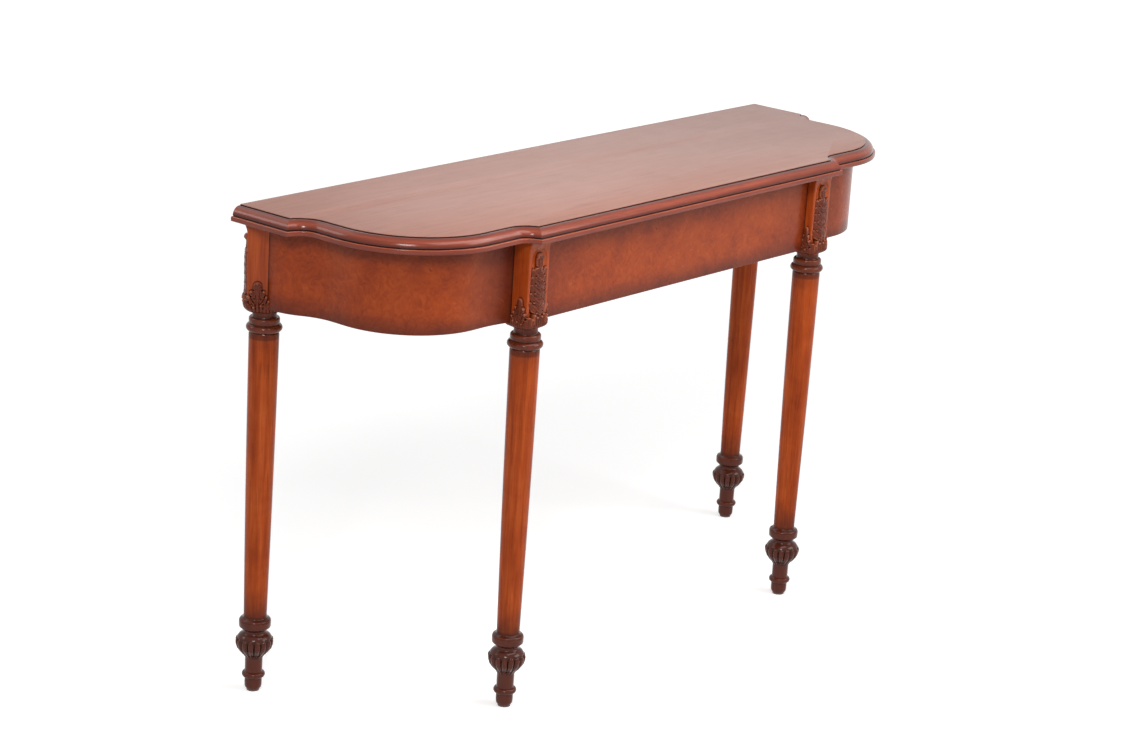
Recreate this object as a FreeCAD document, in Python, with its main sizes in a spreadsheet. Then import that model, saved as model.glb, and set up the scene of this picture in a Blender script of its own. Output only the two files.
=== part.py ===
import FreeCAD, Part
import Sketcher
import math
import os

os.makedirs("parts", exist_ok=True)
doc = FreeCAD.newDocument("pier_table")

# Pier table: a panelled top with an applied edge moulding, a shaped apron frame,
# four carved posts and four turned legs.
# Origin on the floor under the middle of the footprint, +Z up, front towards -Y.

SIZES = {
    # top, seen from above: the line where the flat field meets the moulding
    "height": 780, "back_y": 188, "end_x": 641, "ear_y": 83.6, "flank_x": 611.5,
    "ear_cove_r": 45.5, "bow_r": 145, "shoulder_y": 146, "front_cove_r": 40,
    "front_x": 375, "front_y": 169.5, "top_t": 24,
    # edge moulding, from the field outwards
    "ledge": 2, "ovolo_w": 13, "ovolo_h": 13.5, "quirk": 1, "lip_w": 18.5, "lip_round": 1.5,
    "mitre_run": 18, "mitre_reach": 56,
    # apron frame
    "apron_h": 131, "apron_t": 18, "front_inset": 17.5, "flank_inset": 13.5, "bow_in": 11.2,
    "bow_back": 6.2, "ear_inset": 14.6, "ogee_r": 98, "ogee_back": 1.6, "flare_r": 230, "flare_run": 58,
    "back_rail_t": 20, "back_rail_in": 3, "back_rail_h": 100,
    "tenon_t": 6, "tenon_l": 20, "tenon_h": 90, "tenon_drop": 20, "side_tenon_in": 3, "fit_gap": 0.3,
    # posts
    "post_s": 46, "post_h": 139, "front_post_in": 11, "front_post_back": 22.5,
    "rear_post_in": 28.4, "rear_post_back": 29.6, "rear_turn": 45,
    "rear_post_more": 7,
    "foot_bevel": 12, "foot_in": 4.5, "hollow_top": 136, "hollow_z": 118, "face_in": 4,
    "lobe_pairs": 5, "lobe_pitch": 13, "lobe_z": 48, "lobe_x": 8.5, "lobe_long": 11, "lobe_wide": 4,
    "lobe_high": 2, "lobe_fall": 0.8, "lobe_tilt": 38, "spine_w": 3.2, "spine_high": 1.5,
    "curl_r": 4.3, "curl_z": 113.5, "curl_sunk": 1.3,
    "fan_blades": 5, "fan_w": 3.8, "fan_high": 3.5, "fan_long": 15, "fan_z": 18, "fan_pitch": 8,
    "bud_w": 4.5, "bud_long": 16, "bud_z": 33, "bud_high": 3, "bud_leaf_w": 2.6, "bud_leaf_long": 10.5,
    "bud_y": 8, "bud_spread": 8, "rear_bud_y": 11, "slim_bud_y": 14, "slim_bud_spread": 6,
    # turned leg: drops below the post, heights above the floor and diameters
    "neck_d": 37, "step_drop": 8.5, "step_d": 47.4, "step_round": 3.7,
    "collar_drop": 25.4, "collar_d": 55.6, "collar_t": 12,
    "shaft_drop": 35, "shaft_top_d": 46.6, "shaft_swell": 0.65,
    "shaft_low_z": 128, "shaft_low_d": 36, "ring_z": 112.8, "ring_d": 50, "ring_t": 16.5,
    "ring_soft": 2.7,
    "throat_d": 36.5, "bulb_z": 79, "bulb_d": 59, "bulb_rise": 16,
    "waist_neck_z": 57, "waist_neck_d": 28.6, "toe_ring_z": 27, "toe_ring_d": 36.4, "toe_ring_t": 10,
    "toe_d": 27, "toe_low_z": 6, "sole_d": 22,
    "gadroons": 16, "gadroon_cut": 5, "gadroon_deep": 3.5,
    # hidden pieces
    "bolt_d": 8, "bolt_l": 50, "bolt_clear": 3, "rail_x": 220, "rail_w": 45, "rail_h": 22,
    "screw_d": 4, "screw_head_d": 8.5, "screw_head_t": 3, "screw_bite": 15, "screw_span": 105,
    "block_h": 60, "block_rise": 45, "block_run": 90, "block_deep": 30, "rear_block_run": 62,
    "rear_block_side": 11,
    "glide_d": 20, "glide_t": 3, "glide_pin_d": 3, "glide_pin_l": 12,
}

sheet = doc.addObject("Spreadsheet::Sheet", "sizes")
for line, (alias, number) in enumerate(SIZES.items(), 1):
    sheet.set("A%d" % line, alias)
    sheet.set("B%d" % line, str(number))
    sheet.setAlias("B%d" % line, alias)
doc.recompute()


class Size:
    """A number together with the sheet expression that drives it."""

    def __init__(self, value, text):
        self.value = value
        self.text = text

    def __add__(self, other):
        other = size(other)
        return Size(self.value + other.value, "(%s + %s)" % (self.text, other.text))

    def __sub__(self, other):
        other = size(other)
        return Size(self.value - other.value, "(%s - %s)" % (self.text, other.text))

    def __mul__(self, other):
        other = size(other)
        return Size(self.value * other.value, "(%s * %s)" % (self.text, other.text))

    def __truediv__(self, other):
        other = size(other)
        return Size(self.value / other.value, "(%s / %s)" % (self.text, other.text))

    def __neg__(self):
        return Size(-self.value, "(0 - %s)" % self.text)

    def root(self):
        return Size(math.sqrt(self.value), "sqrt(%s)" % self.text)

    def cos(self):
        return Size(math.cos(math.radians(self.value)), "cos(%s * 1deg)" % self.text)

    def sin(self):
        return Size(math.sin(math.radians(self.value)), "sin(%s * 1deg)" % self.text)

    def arctan(self):
        return Size(math.degrees(math.atan(self.value)), "(atan(%s) / 1deg)" % self.text)


def size(value):
    return value if isinstance(value, Size) else Size(value, "%.12g" % value)


def s(alias):
    return Size(float(SIZES[alias]), "sizes." + alias)


def half_chord(radius, rise):
    """Half the chord of an arc that rises by so much from its tangent."""
    return (radius * rise * 2 - rise * rise).root()


# ---------------------------------------------------------------- helpers

def body(name):
    made = doc.addObject("PartDesign::Body", name)
    made.Label = name
    return made


def bind(obj, prop, value):
    obj.setExpression(prop, size(value).text)


def plane(owner, role):
    for feature in owner.Origin.OriginFeatures:
        if feature.Role == role:
            return feature


def sketch(owner, role="XY_Plane", shift=0, along=0, across=0, turn=None):
    """A sketch on one of the body's own planes, moved off it by shift."""
    made = owner.newObject("Sketcher::SketchObject", "outline")
    made.AttachmentSupport = [(plane(owner, role), "")]
    made.MapMode = "FlatFace"
    for prop, value in (("x", along), ("y", across), ("z", shift)):
        bind(made, "AttachmentOffset.Base." + prop, value)
    if turn is not None:
        made.AttachmentOffset = FreeCAD.Placement(
            FreeCAD.Vector(0, 0, 0), FreeCAD.Rotation(FreeCAD.Vector(0, 1, 0), turn.value))
        bind(made, "AttachmentOffset.Rotation.Angle", turn)
    return made


def pin(made, part, end, x=None, y=None):
    for kind, value in (("DistanceX", x), ("DistanceY", y)):
        if value is None:
            continue
        value = size(value)
        index = made.addConstraint(
            Sketcher.Constraint(kind, -1, 1, part, end, value.value))
        bind(made, "Constraints[%d]" % index, value)


def outline(made, points, arcs=None, closed=True):
    """Lines through the points. arcs: segment number to centre and True if it turns left."""
    arcs = arcs or {}
    points = [(size(x), size(y)) for x, y in points]
    count = len(points) if closed else len(points) - 1
    ends = []
    centres = []
    for i in range(count):
        (x0, y0), (x1, y1) = points[i], points[(i + 1) % len(points)]
        first = FreeCAD.Vector(x0.value, y0.value, 0)
        last = FreeCAD.Vector(x1.value, y1.value, 0)
        if i not in arcs:
            part = made.addGeometry(Part.LineSegment(first, last), False)
            ends.append((part, 1, 2))
            continue
        (cx, cy), left = arcs[i]
        centre = FreeCAD.Vector(size(cx).value, size(cy).value, 0)
        begin, finish = (first, last) if left else (last, first)
        circle = Part.Circle(centre, FreeCAD.Vector(0, 0, 1), centre.distanceToPoint(first))
        low = math.atan2(begin.y - centre.y, begin.x - centre.x)
        high = math.atan2(finish.y - centre.y, finish.x - centre.x)
        if high <= low:
            high += 2 * math.pi
        part = made.addGeometry(Part.ArcOfCircle(circle, low, high), False)
        ends.append((part, 1, 2) if left else (part, 2, 1))
        centres.append((part, (x1 - x0).value, (y1 - y0).value, size(cx), size(cy)))
    for i, (part, begin, finish) in enumerate(ends):
        pin(made, part, begin, *points[i])
        if closed or i + 1 < count:
            after = ends[(i + 1) % count]
            made.addConstraint(Sketcher.Constraint("Coincident", part, finish, after[0], after[1]))
    if not closed:
        pin(made, ends[-1][0], ends[-1][2], *points[-1])
    for part, dx, dy, cx, cy in centres:
        # the centre slides on the line half way between the ends, so one distance fixes it
        if abs(dy) > abs(dx):
            pin(made, part, 3, x=cx)
        else:
            pin(made, part, 3, y=cy)
    return made


def disc(made, diameter, x=0, y=0):
    diameter = size(diameter)
    centre = FreeCAD.Vector(size(x).value, size(y).value, 0)
    part = made.addGeometry(
        Part.Circle(centre, FreeCAD.Vector(0, 0, 1), diameter.value / 2), False)
    index = made.addConstraint(Sketcher.Constraint("Diameter", part, diameter.value))
    bind(made, "Constraints[%d]" % index, diameter)
    pin(made, part, 3, x, y)
    return made


def rectangle(made, x0, x1, y0, y1):
    return outline(made, [(x0, y0), (x1, y0), (x1, y1), (x0, y1)])


def feature(owner, kind, profile, **values):
    made = owner.newObject("PartDesign::" + kind, kind.lower())
    if profile is not None:
        made.Profile = profile
        profile.Visibility = False
    for name, value in values.items():
        if isinstance(value, Size):
            bind(made, name, value)
        else:
            setattr(made, name, value)
    return made


def mirror(source, name):
    made = doc.addObject("Part::Mirroring", name)
    made.Label = name
    made.Source = source
    made.Base = FreeCAD.Vector(0, 0, 0)
    made.Normal = FreeCAD.Vector(1, 0, 0)
    return made


def place(obj, x=0, y=0, z=0, turn=None):
    if turn is not None:
        obj.Placement = FreeCAD.Placement(
            FreeCAD.Vector(0, 0, 0), FreeCAD.Rotation(FreeCAD.Vector(0, 0, 1), size(turn).value))
        bind(obj, "Placement.Rotation.Angle", turn)
    for prop, value in (("x", x), ("y", y), ("z", z)):
        bind(obj, "Placement.Base." + prop, value)


# ---------------------------------------------------------------- shared lines

back_y = s("back_y")
front_y = s("front_y")
top_under = s("height") - s("top_t")
apron_low = top_under - s("apron_h")
post_low = top_under - s("post_h")
half_post = s("post_s") / 2

ear_chord = half_chord(s("ear_cove_r"), s("end_x") - s("flank_x"))
ear_cove_y = s("ear_y") - ear_chord
ear_cove_x = s("flank_x") + s("ear_cove_r")
bow_x = s("flank_x") - s("bow_r")
bow_y = s("bow_r") - s("shoulder_y")
front_chord = half_chord(s("front_cove_r"), front_y - s("shoulder_y"))
front_cove_x = s("front_x") + front_chord
front_cove_y = s("shoulder_y") + s("front_cove_r")

# left half of the line round the flat field, back to front
LEFT_LINE = [
    (-s("end_x"), back_y), (-s("end_x"), s("ear_y")), (-s("flank_x"), ear_cove_y),
    (-s("flank_x"), bow_y), (-bow_x, -s("shoulder_y")), (-front_cove_x, -s("shoulder_y")),
    (-s("front_x"), -front_y),
]
LEFT_ARCS = {
    1: ((-ear_cove_x, ear_cove_y), False),
    3: ((-bow_x, bow_y), True),
    5: ((-front_cove_x, -front_cove_y), False),
}


# ---------------------------------------------------------------- top and its moulding

top_panel = body("top_panel")
line = LEFT_LINE + [(-x, y) for x, y in reversed(LEFT_LINE)]
arcs = dict(LEFT_ARCS)
for i, ((cx, cy), left) in LEFT_ARCS.items():
    arcs[len(line) - 2 - i] = ((-cx, cy), left)
top_sketch = outline(sketch(top_panel, shift=top_under), line, arcs)
feature(top_panel, "Pad", top_sketch, Length=s("top_t"))


def moulding_profile(made):
    """Section of the edge moulding, from the field at 0 outwards to the left, top down."""
    top = s("height")
    fillet = s("ledge")
    rise = s("ovolo_h")
    run = s("ovolo_w")
    ovolo_x = fillet + run
    ovolo_z = top - fillet - rise
    lip_z = ovolo_z - s("quirk")
    quirk_x = ovolo_x - s("quirk")
    edge = s("lip_w")
    soft = s("lip_round")
    # arc of the ovolo through its two ends, upright at the lower one
    bulge = (run * run + rise * rise) / (run * 2)
    return outline(made, [
        (0, top_under), (0, top - fillet), (-fillet, top - fillet), (-ovolo_x, ovolo_z),
        (-quirk_x, ovolo_z), (-quirk_x, lip_z), (soft - edge, lip_z), (-edge, lip_z - soft),
        (-edge, top_under + soft), (soft - edge, top_under),
    ], {
        2: ((bulge - ovolo_x, ovolo_z), True),
        6: ((soft - edge, lip_z - soft), True),
        8: ((soft - edge, top_under + soft), True),
    })


def mitre(owner, corner, outward, onward):
    """Cuts the strip off along the line from the corner in the direction outward."""
    reach = s("mitre_reach")
    x, y = corner
    far = (x + outward[0] * reach, y + outward[1] * reach)
    points = [
        corner, far, (far[0] + onward[0] * reach, far[1] + onward[1] * reach),
        (x + onward[0] * reach, y + onward[1] * reach),
    ]
    cut = outline(sketch(owner), points)
    feature(owner, "Pocket", cut, Type="ThroughAll", Reversed=True)


def bisector(first, second):
    """Unit direction half way between two unit directions."""
    x = first[0] + second[0]
    y = first[1] + second[1]
    long = (x * x + y * y).root()
    return x / long, y / long


one = size(1)
nil = size(0)
run = s("mitre_run")
# unit direction of the line as it leaves the ear and as it reaches the front corner
ear_way = (ear_chord / s("ear_cove_r"), -(ear_cove_x - s("end_x")) / s("ear_cove_r"))
front_way = ((front_cove_y - front_y) / s("front_cove_r"), -front_chord / s("front_cove_r"))
ear_out = (ear_way[1], -ear_way[0])
front_out = (front_way[1], -front_way[0])
ear_corner = LEFT_LINE[1]
front_corner = LEFT_LINE[6]
ear_mitre = bisector((-one, nil), ear_out)
front_mitre = bisector((nil, -one), front_out)

end_strip = body("moulding_left_end")
profile = sketch(end_strip, "XZ_Plane", shift=-back_y, along=-s("end_x"))
moulding_profile(profile)
feature(end_strip, "Pad", profile, Length=back_y - s("ear_y") + run)
mitre(end_strip, ear_corner, ear_mitre, (nil, -one))

corner_strip = body("moulding_left_corner")
start = (ear_corner[0] - ear_way[0] * run, ear_corner[1] - ear_way[1] * run)
stop = (front_corner[0] + front_way[0] * run, front_corner[1] + front_way[1] * run)
path = sketch(corner_strip)
outline(path, [start] + LEFT_LINE[1:] + [stop], LEFT_ARCS, closed=False)
profile = sketch(corner_strip, "XZ_Plane", shift=-start[1], along=start[0],
                 turn=(ear_way[0] / -ear_way[1]).arctan())
moulding_profile(profile)
feature(corner_strip, "AdditivePipe", profile, Spine=(path, [""]))
mitre(corner_strip, ear_corner, ear_mitre, (-ear_way[0], -ear_way[1]))
mitre(corner_strip, front_corner, front_mitre, front_way)

front_strip = body("moulding_front")
profile = sketch(front_strip, "YZ_Plane", shift=-(s("front_x") + run), along=-front_y)
moulding_profile(profile)
feature(front_strip, "Pad", profile, Length=(s("front_x") + run) * 2)
mitre(front_strip, front_corner, front_mitre, (-one, nil))
mitre(front_strip, (-front_corner[0], front_corner[1]), (-front_mitre[0], front_mitre[1]), (one, nil))


# ---------------------------------------------------------------- where the posts stand

front_post_x = s("front_x") - s("front_post_in")
front_post_y = front_y - s("front_post_back")
rear_post_x = s("end_x") - s("rear_post_in")
rear_post_y = back_y - s("rear_post_back")
turn = s("rear_turn")
# rear left post: the way its tall leaf faces, and the way its face to the side apron looks
leaf_way = (-turn.cos(), turn.sin())
side_way = (-turn.sin(), -turn.cos())


def by_rear_post(side, leaf):
    """Point so far from the rear left post's axis towards the side apron and towards the leaf."""
    return (
        -rear_post_x + side_way[0] * side + leaf_way[0] * leaf,
        rear_post_y + side_way[1] * side + leaf_way[1] * leaf,
    )


def leaf_at_x(side, x):
    """How far towards the leaf the post face at that distance meets the upright plane at x."""
    return (x + rear_post_x - side_way[0] * side) / leaf_way[0]


def leaf_at_y(side, y):
    return (y - rear_post_y - side_way[1] * side) / leaf_way[1]


# ---------------------------------------------------------------- apron frame

apron_t = s("apron_t")
tenon_t = s("tenon_t")
tenon_l = s("tenon_l")
tenon_low = post_low + s("bolt_l") / 2 + s("bolt_clear")
apron_front = front_y - s("front_inset")
post_inner_x = front_post_x - half_post
post_outer_x = front_post_x + half_post
root = tenon_t / 2


def tenon(owner, points, low=tenon_low, high=s("tenon_h")):
    feature(owner, "Pad", outline(sketch(owner, shift=low), points), Length=high)


def box_points(x0, x1, y0, y1):
    return [(x0, y0), (x1, y0), (x1, y1), (x0, y1)]


def rear_points(side0, side1, leaf0, leaf1):
    return [by_rear_post(side0, leaf0), by_rear_post(side1, leaf0),
            by_rear_post(side1, leaf1), by_rear_post(side0, leaf1)]


front_apron = body("front_apron")
plan = rectangle(sketch(front_apron, shift=apron_low), -post_inner_x, post_inner_x,
                 -apron_front, apron_t - apron_front)
feature(front_apron, "Pad", plan, Length=s("apron_h"))
front_tenon_y = apron_t / 2 - apron_front
tenon(front_apron, box_points(-(post_inner_x + tenon_l), post_inner_x + tenon_l,
                              front_tenon_y - tenon_t / 2, front_tenon_y + tenon_t / 2))

apron_flank = s("flank_x") - s("flank_inset")
apron_end = s("end_x") - s("ear_inset")
ogee_half = half_chord(s("ogee_r"), (apron_end - apron_flank) / 2)
ogee_y = s("ear_y") - s("ogee_back")
ogee_top = ogee_y + ogee_half
ogee_low = ogee_y - ogee_half
ogee_x = (apron_end + apron_flank) / 2
apron_bow_r = s("bow_r") - s("bow_in")
apron_bow_x = apron_flank - apron_bow_r
apron_bow_y = bow_y + s("bow_back")
shoulder = apron_bow_y - apron_bow_r
flare_x = post_outer_x + s("flare_run")
flare_y = shoulder - s("flare_r")


def flare_at(x):
    away = flare_x - x
    return flare_y + (s("flare_r") * s("flare_r") - away * away).root()


side_apron = body("left_apron")
path = sketch(side_apron)
outline(path, [
    (-apron_end, rear_post_y), (-apron_end, ogee_top), (-ogee_x, ogee_y),
    (-apron_flank, ogee_low), (-apron_flank, apron_bow_y), (-apron_bow_x, shoulder),
    (-flare_x, shoulder), (-front_post_x, flare_at(front_post_x)),
], {
    1: ((s("ogee_r") - apron_end, ogee_top), True),
    2: ((-(apron_flank + s("ogee_r")), ogee_low), False),
    4: ((-apron_bow_x, apron_bow_y), True),
    6: ((-flare_x, flare_y), False),
}, closed=False)
profile = rectangle(sketch(side_apron, "XZ_Plane", shift=-rear_post_y),
                    -apron_end, apron_t - apron_end, apron_low, top_under)
feature(side_apron, "AdditivePipe", profile, Spine=(path, [""]))
wide = s("post_s") * 2
cut = outline(sketch(side_apron), rear_points(half_post, -wide, -wide, wide))
feature(side_apron, "Pocket", cut, Type="ThroughAll", Reversed=True)
cut = rectangle(sketch(side_apron), -post_outer_x, 0, -front_y, 0)
feature(side_apron, "Pocket", cut, Type="ThroughAll", Reversed=True)
rear_tenon_leaf = (leaf_at_x(half_post, -apron_end) - half_post) / 2
tenon(side_apron, rear_points(half_post + root, half_post - tenon_l,
                              rear_tenon_leaf - tenon_t / 2, rear_tenon_leaf + tenon_t / 2))
side_tenon_y = flare_at(post_outer_x) + s("side_tenon_in") + tenon_t / 2
tenon(side_apron, box_points(-(post_outer_x + root), tenon_l - post_outer_x,
                             side_tenon_y - tenon_t / 2, side_tenon_y + tenon_t / 2))

back_rail = body("back_rail")
rail_out = back_y - s("back_rail_in")
rail_in = rail_out - s("back_rail_t")
rail_low = top_under - s("back_rail_h")
plan = rectangle(sketch(back_rail, shift=rail_low), -rear_post_x, rear_post_x, rail_in, rail_out)
feature(back_rail, "Pad", plan, Length=s("back_rail_h"))
ends = rear_points(-half_post, wide, -wide, wide)
rail_tenon_leaf = (leaf_at_y(-half_post, rail_in) + leaf_at_y(-half_post, rail_out)) / 2
pegs = rear_points(-(half_post + root), tenon_l - half_post,
                   rail_tenon_leaf - tenon_t / 2, rail_tenon_leaf + tenon_t / 2)
for points in (ends, [(-x, y) for x, y in ends]):
    feature(back_rail, "Pocket", outline(sketch(back_rail), points), Type="ThroughAll", Reversed=True)
rail_tenon_h = s("back_rail_h") - s("tenon_drop") * 2
for points in (pegs, [(-x, y) for x, y in pegs]):
    tenon(back_rail, points, rail_low + s("tenon_drop"), rail_tenon_h)


# ---------------------------------------------------------------- posts

gap = s("fit_gap")


def arc_r(chord, rise):
    """Radius of the arc that leaves its tangent by rise over the length chord."""
    return (chord * chord + rise * rise) / (rise * 2)


hollow_r = arc_r(s("hollow_top") - s("hollow_z"), s("face_in"))


def lens(made, x, y, half_long, half_wide, tilt=nil):
    """A pointed oval, its long way upright or leaning to the right by tilt."""
    x, y = size(x), size(y)
    way = (tilt.sin(), tilt.cos())
    flat = arc_r(half_long, half_wide) - half_wide
    low = (x - way[0] * half_long, y - way[1] * half_long)
    high = (x + way[0] * half_long, y + way[1] * half_long)
    left = (x - way[1] * flat, y + way[0] * flat)
    right = (x + way[1] * flat, y - way[0] * flat)
    outline(made, [low, high], {0: (left, True), 1: (right, True)})


def mortise(owner, side, y, low, high):
    half = tenon_t / 2 + gap
    made = sketch(owner, "YZ_Plane", shift=half_post * side)
    rectangle(made, y - half, y + half, low - gap, low + high + gap)
    feature(owner, "Pocket", made, Length=tenon_l + gap, Reversed=side < 0)


def post(name, joints, buds, more=nil):
    """A carved post on the leg's axis, foot at z 0, tall leaf towards -Y, that way deeper by more."""
    made = body(name)
    front = half_post + more
    face = front - s("face_in")
    tall = s("post_h")
    bevel = s("foot_bevel")
    square = rectangle(sketch(made, shift=bevel), -half_post, half_post, -front, half_post)
    feature(made, "Pad", square, Length=tall - bevel)
    foot = rectangle(sketch(made, shift=bevel), -half_post, half_post, -front, half_post)
    feature(made, "Pad", foot, Length=bevel, Reversed=True, TaperAngle=-(s("foot_in") / bevel).arctan())
    # the show face lies back below a hollow under the top
    out = front + s("face_in")
    sunk = outline(sketch(made, "YZ_Plane"), [
        (-front, s("hollow_top")), (-face, s("hollow_z")), (-face, 0), (-out, 0),
        (-out, s("hollow_top")),
    ], {0: ((-(face + hollow_r), s("hollow_z")), False)})
    feature(made, "Pocket", sunk, Type="ThroughAll", Midplane=True)
    # tall leaf: a spine, pairs of lobes, a scrolled tip and a fan at the foot
    inside = half_post / 2
    leaf_mid = (s("curl_z") + s("fan_z")) / 2
    spine = sketch(made, "XZ_Plane", shift=inside)
    lens(spine, 0, leaf_mid, (s("curl_z") - s("fan_z")) / 2, s("spine_w"))
    feature(made, "Pad", spine, Length=front - inside + s("spine_high"))
    for step in range(SIZES["lobe_pairs"]):
        lobes = sketch(made, "XZ_Plane", shift=inside)
        for side in (-1, 1):
            lens(lobes, s("lobe_x") * side, s("lobe_z") + s("lobe_pitch") * step,
                 s("lobe_long"), s("lobe_wide"), s("lobe_tilt") * side)
        feature(made, "Pad", lobes,
                Length=front - inside + s("lobe_high") - s("lobe_fall") * step)
    curl = disc(sketch(made, "YZ_Plane"), s("curl_r") * 2, s("curl_sunk") - front, s("curl_z"))
    feature(made, "Pad", curl, Length=s("curl_r") * 2, Midplane=True)
    fan = sketch(made, "XZ_Plane", shift=inside)
    edge = s("fan_pitch") * (s("fan_blades") - 1) / 2
    for step in range(SIZES["fan_blades"]):
        lens(fan, s("fan_pitch") * step - edge, s("fan_z"), s("fan_long"), s("fan_w"))
    feature(made, "Pad", fan, Length=front - inside + s("fan_high"))
    # small leaf low on the side faces
    for side, y, spread in buds:
        bud = sketch(made, "YZ_Plane", shift=inside * side)
        lens(bud, -y, s("bud_z"), s("bud_long"), s("bud_w"))
        for way in (-1, 1):
            lens(bud, spread * way - y, s("fan_z"), s("bud_leaf_long"), s("bud_leaf_w"))
        feature(made, "Pad", bud, Length=half_post - inside + s("bud_high"), Reversed=side < 0)
    for side, y, low, high in joints:
        mortise(made, side, y, low - post_low, high)
    hole = disc(sketch(made), s("bolt_d") + gap * 2)
    feature(made, "Pocket", hole, Length=s("bolt_l") / 2, Reversed=True)
    return made


tenon_h = s("tenon_h")
front_post = post("post_front_left", [
    (1, front_tenon_y + front_post_y, tenon_low, tenon_h),
    (-1, side_tenon_y + front_post_y, tenon_low, tenon_h),
], [(-1, s("bud_y"), s("bud_spread")), (1, s("slim_bud_y"), s("slim_bud_spread"))])
place(front_post, -front_post_x, -front_post_y, post_low)

rear_post = post("post_rear_left", [
    (1, -rear_tenon_leaf, tenon_low, tenon_h),
    (-1, -rail_tenon_leaf, rail_low + s("tenon_drop"), rail_tenon_h),
], [(1, s("rear_bud_y"), s("bud_spread"))], s("rear_post_more"))
reach = back_y - rear_post_y
away = (-turn.cos(), -turn.sin())
along = (-turn.sin(), turn.cos())
flush = [(away[0] * a + along[0] * b, away[1] * a + along[1] * b)
         for a, b in ((reach, -wide), (wide, -wide), (wide, wide), (reach, wide))]
feature(rear_post, "Pocket", outline(sketch(rear_post), flush), Type="ThroughAll", Reversed=True)
place(rear_post, -rear_post_x, rear_post_y, post_low, -(turn + 90))


# ---------------------------------------------------------------- legs

def leg(name, x, y):
    made = body(name)
    neck_r = s("neck_d") / 2
    step_r = s("step_d") / 2
    collar_r = s("collar_d") / 2
    half_collar = s("collar_t") / 2
    step_z = post_low - s("step_drop")
    collar_z = post_low - s("collar_drop")
    shaft_z = post_low - s("shaft_drop")
    step_soft = s("step_round")
    collar_x = collar_r - half_collar
    shaft_r = s("shaft_top_d") / 2
    low_r = s("shaft_low_d") / 2
    # the shaft's side stands out a little from the straight line between its ends
    fall = shaft_z - s("shaft_low_z")
    thin = shaft_r - low_r
    long = (fall * fall + thin * thin).root()
    swell_r = arc_r(long / 2, s("shaft_swell")) - s("shaft_swell")
    swell = ((shaft_r + low_r) / 2 - swell_r * fall / long,
             (shaft_z + s("shaft_low_z")) / 2 + swell_r * thin / long)
    ring_r = s("ring_d") / 2
    half_ring = s("ring_t") / 2
    soft = s("ring_soft")
    throat_r = s("throat_d") / 2
    bulb_r = s("bulb_d") / 2
    bulb_z = s("bulb_z")
    top_x = bulb_r - s("bulb_rise")
    top_z = bulb_z + (s("bulb_rise") * s("bulb_rise") - (throat_r - top_x) * (throat_r - top_x)).root()
    slim_r = s("waist_neck_d") / 2
    drop = bulb_z - s("waist_neck_z")
    low_arc = arc_r(drop, bulb_r - slim_r)
    toe_ring_r = s("toe_ring_d") / 2
    half_toe = s("toe_ring_t") / 2
    toe_x = toe_ring_r - half_toe
    toe_r = s("toe_d") / 2
    # the step's side comes down onto the round of the collar
    ledge_in = step_r - collar_x
    collar_top = collar_z + (half_collar * half_collar - ledge_in * ledge_in).root()
    collar_low = collar_z - half_collar
    toe_top = s("toe_ring_z") + half_toe
    toe_low = s("toe_ring_z") - half_toe
    points = [
        (0, s("glide_t")), (0, post_low), (neck_r, post_low), (neck_r, step_z),
        (step_r - step_soft, step_z), (step_r, step_z - step_soft), (step_r, collar_top),
        (collar_x, collar_low), (shaft_r, shaft_z), (low_r, s("shaft_low_z")),
        (low_r, s("ring_z") + half_ring), (ring_r - soft, s("ring_z") + half_ring),
        (ring_r, s("ring_z") + half_ring - soft), (ring_r, s("ring_z") - half_ring + soft),
        (ring_r - soft, s("ring_z") - half_ring), (throat_r, s("ring_z") - half_ring),
        (throat_r, top_z), (bulb_r, bulb_z), (slim_r, s("waist_neck_z")), (slim_r, toe_top),
        (toe_x, toe_top), (toe_x, toe_low), (toe_r, toe_low), (toe_r, s("toe_low_z")),
        (s("sole_d") / 2, s("glide_t")),
    ]
    section = outline(sketch(made, "XZ_Plane"), points, {
        4: ((step_r - step_soft, step_z - step_soft), False),
        6: ((collar_x, collar_z), False),
        8: (swell, False),
        16: ((top_x, bulb_z), False),
        17: ((bulb_r - low_arc, bulb_z), False),
        20: ((toe_x, s("toe_ring_z")), False),
    })
    feature(made, "Revolution", section, ReferenceAxis=(section, ["V_Axis"]))
    # the bulb is cut into rounded ribs by narrow hollows
    deep = s("gadroon_deep")
    inner = s("bulb_rise") - deep
    start_x = throat_r + deep / 2
    start_z = bulb_z + (inner * inner - (start_x - top_x) * (start_x - top_x)).root()
    stop_x = slim_r + deep / 2
    low_inner = low_arc - deep
    stop_z = bulb_z - (low_inner * low_inner - (stop_x - bulb_r + low_arc)
                       * (stop_x - bulb_r + low_arc)).root()
    outer = bulb_r + deep
    hollow = outline(sketch(made, "XZ_Plane"), [
        (start_x, start_z), (bulb_r - deep, bulb_z), (stop_x, stop_z), (outer, stop_z),
        (outer, start_z),
    ], {0: ((top_x, bulb_z), False), 1: ((bulb_r - low_arc, bulb_z), False)})
    groove = feature(made, "Groove", hollow, ReferenceAxis=(hollow, ["V_Axis"]),
                     Angle=s("gadroon_cut"), Midplane=True)
    ribs = made.newObject("PartDesign::PolarPattern", "ribs")
    ribs.Originals = [groove]
    ribs.Axis = (plane(made, "Z_Axis"), [""])
    ribs.Angle = 360
    bind(ribs, "Occurrences", s("gadroons"))
    made.Tip = ribs
    hole = disc(sketch(made, shift=post_low), s("bolt_d") + gap * 2)
    feature(made, "Pocket", hole, Length=s("bolt_l") / 2)
    pin_hole = disc(sketch(made, shift=s("glide_t")), s("glide_pin_d") + gap * 2)
    feature(made, "Pocket", pin_hole, Length=s("glide_pin_l"), Reversed=True)
    place(made, x, y)
    return made


front_leg = leg("leg_front_left", -front_post_x, -front_post_y)
rear_leg = leg("leg_rear_left", -rear_post_x, rear_post_y)


# ---------------------------------------------------------------- pieces inside the frame

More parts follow.
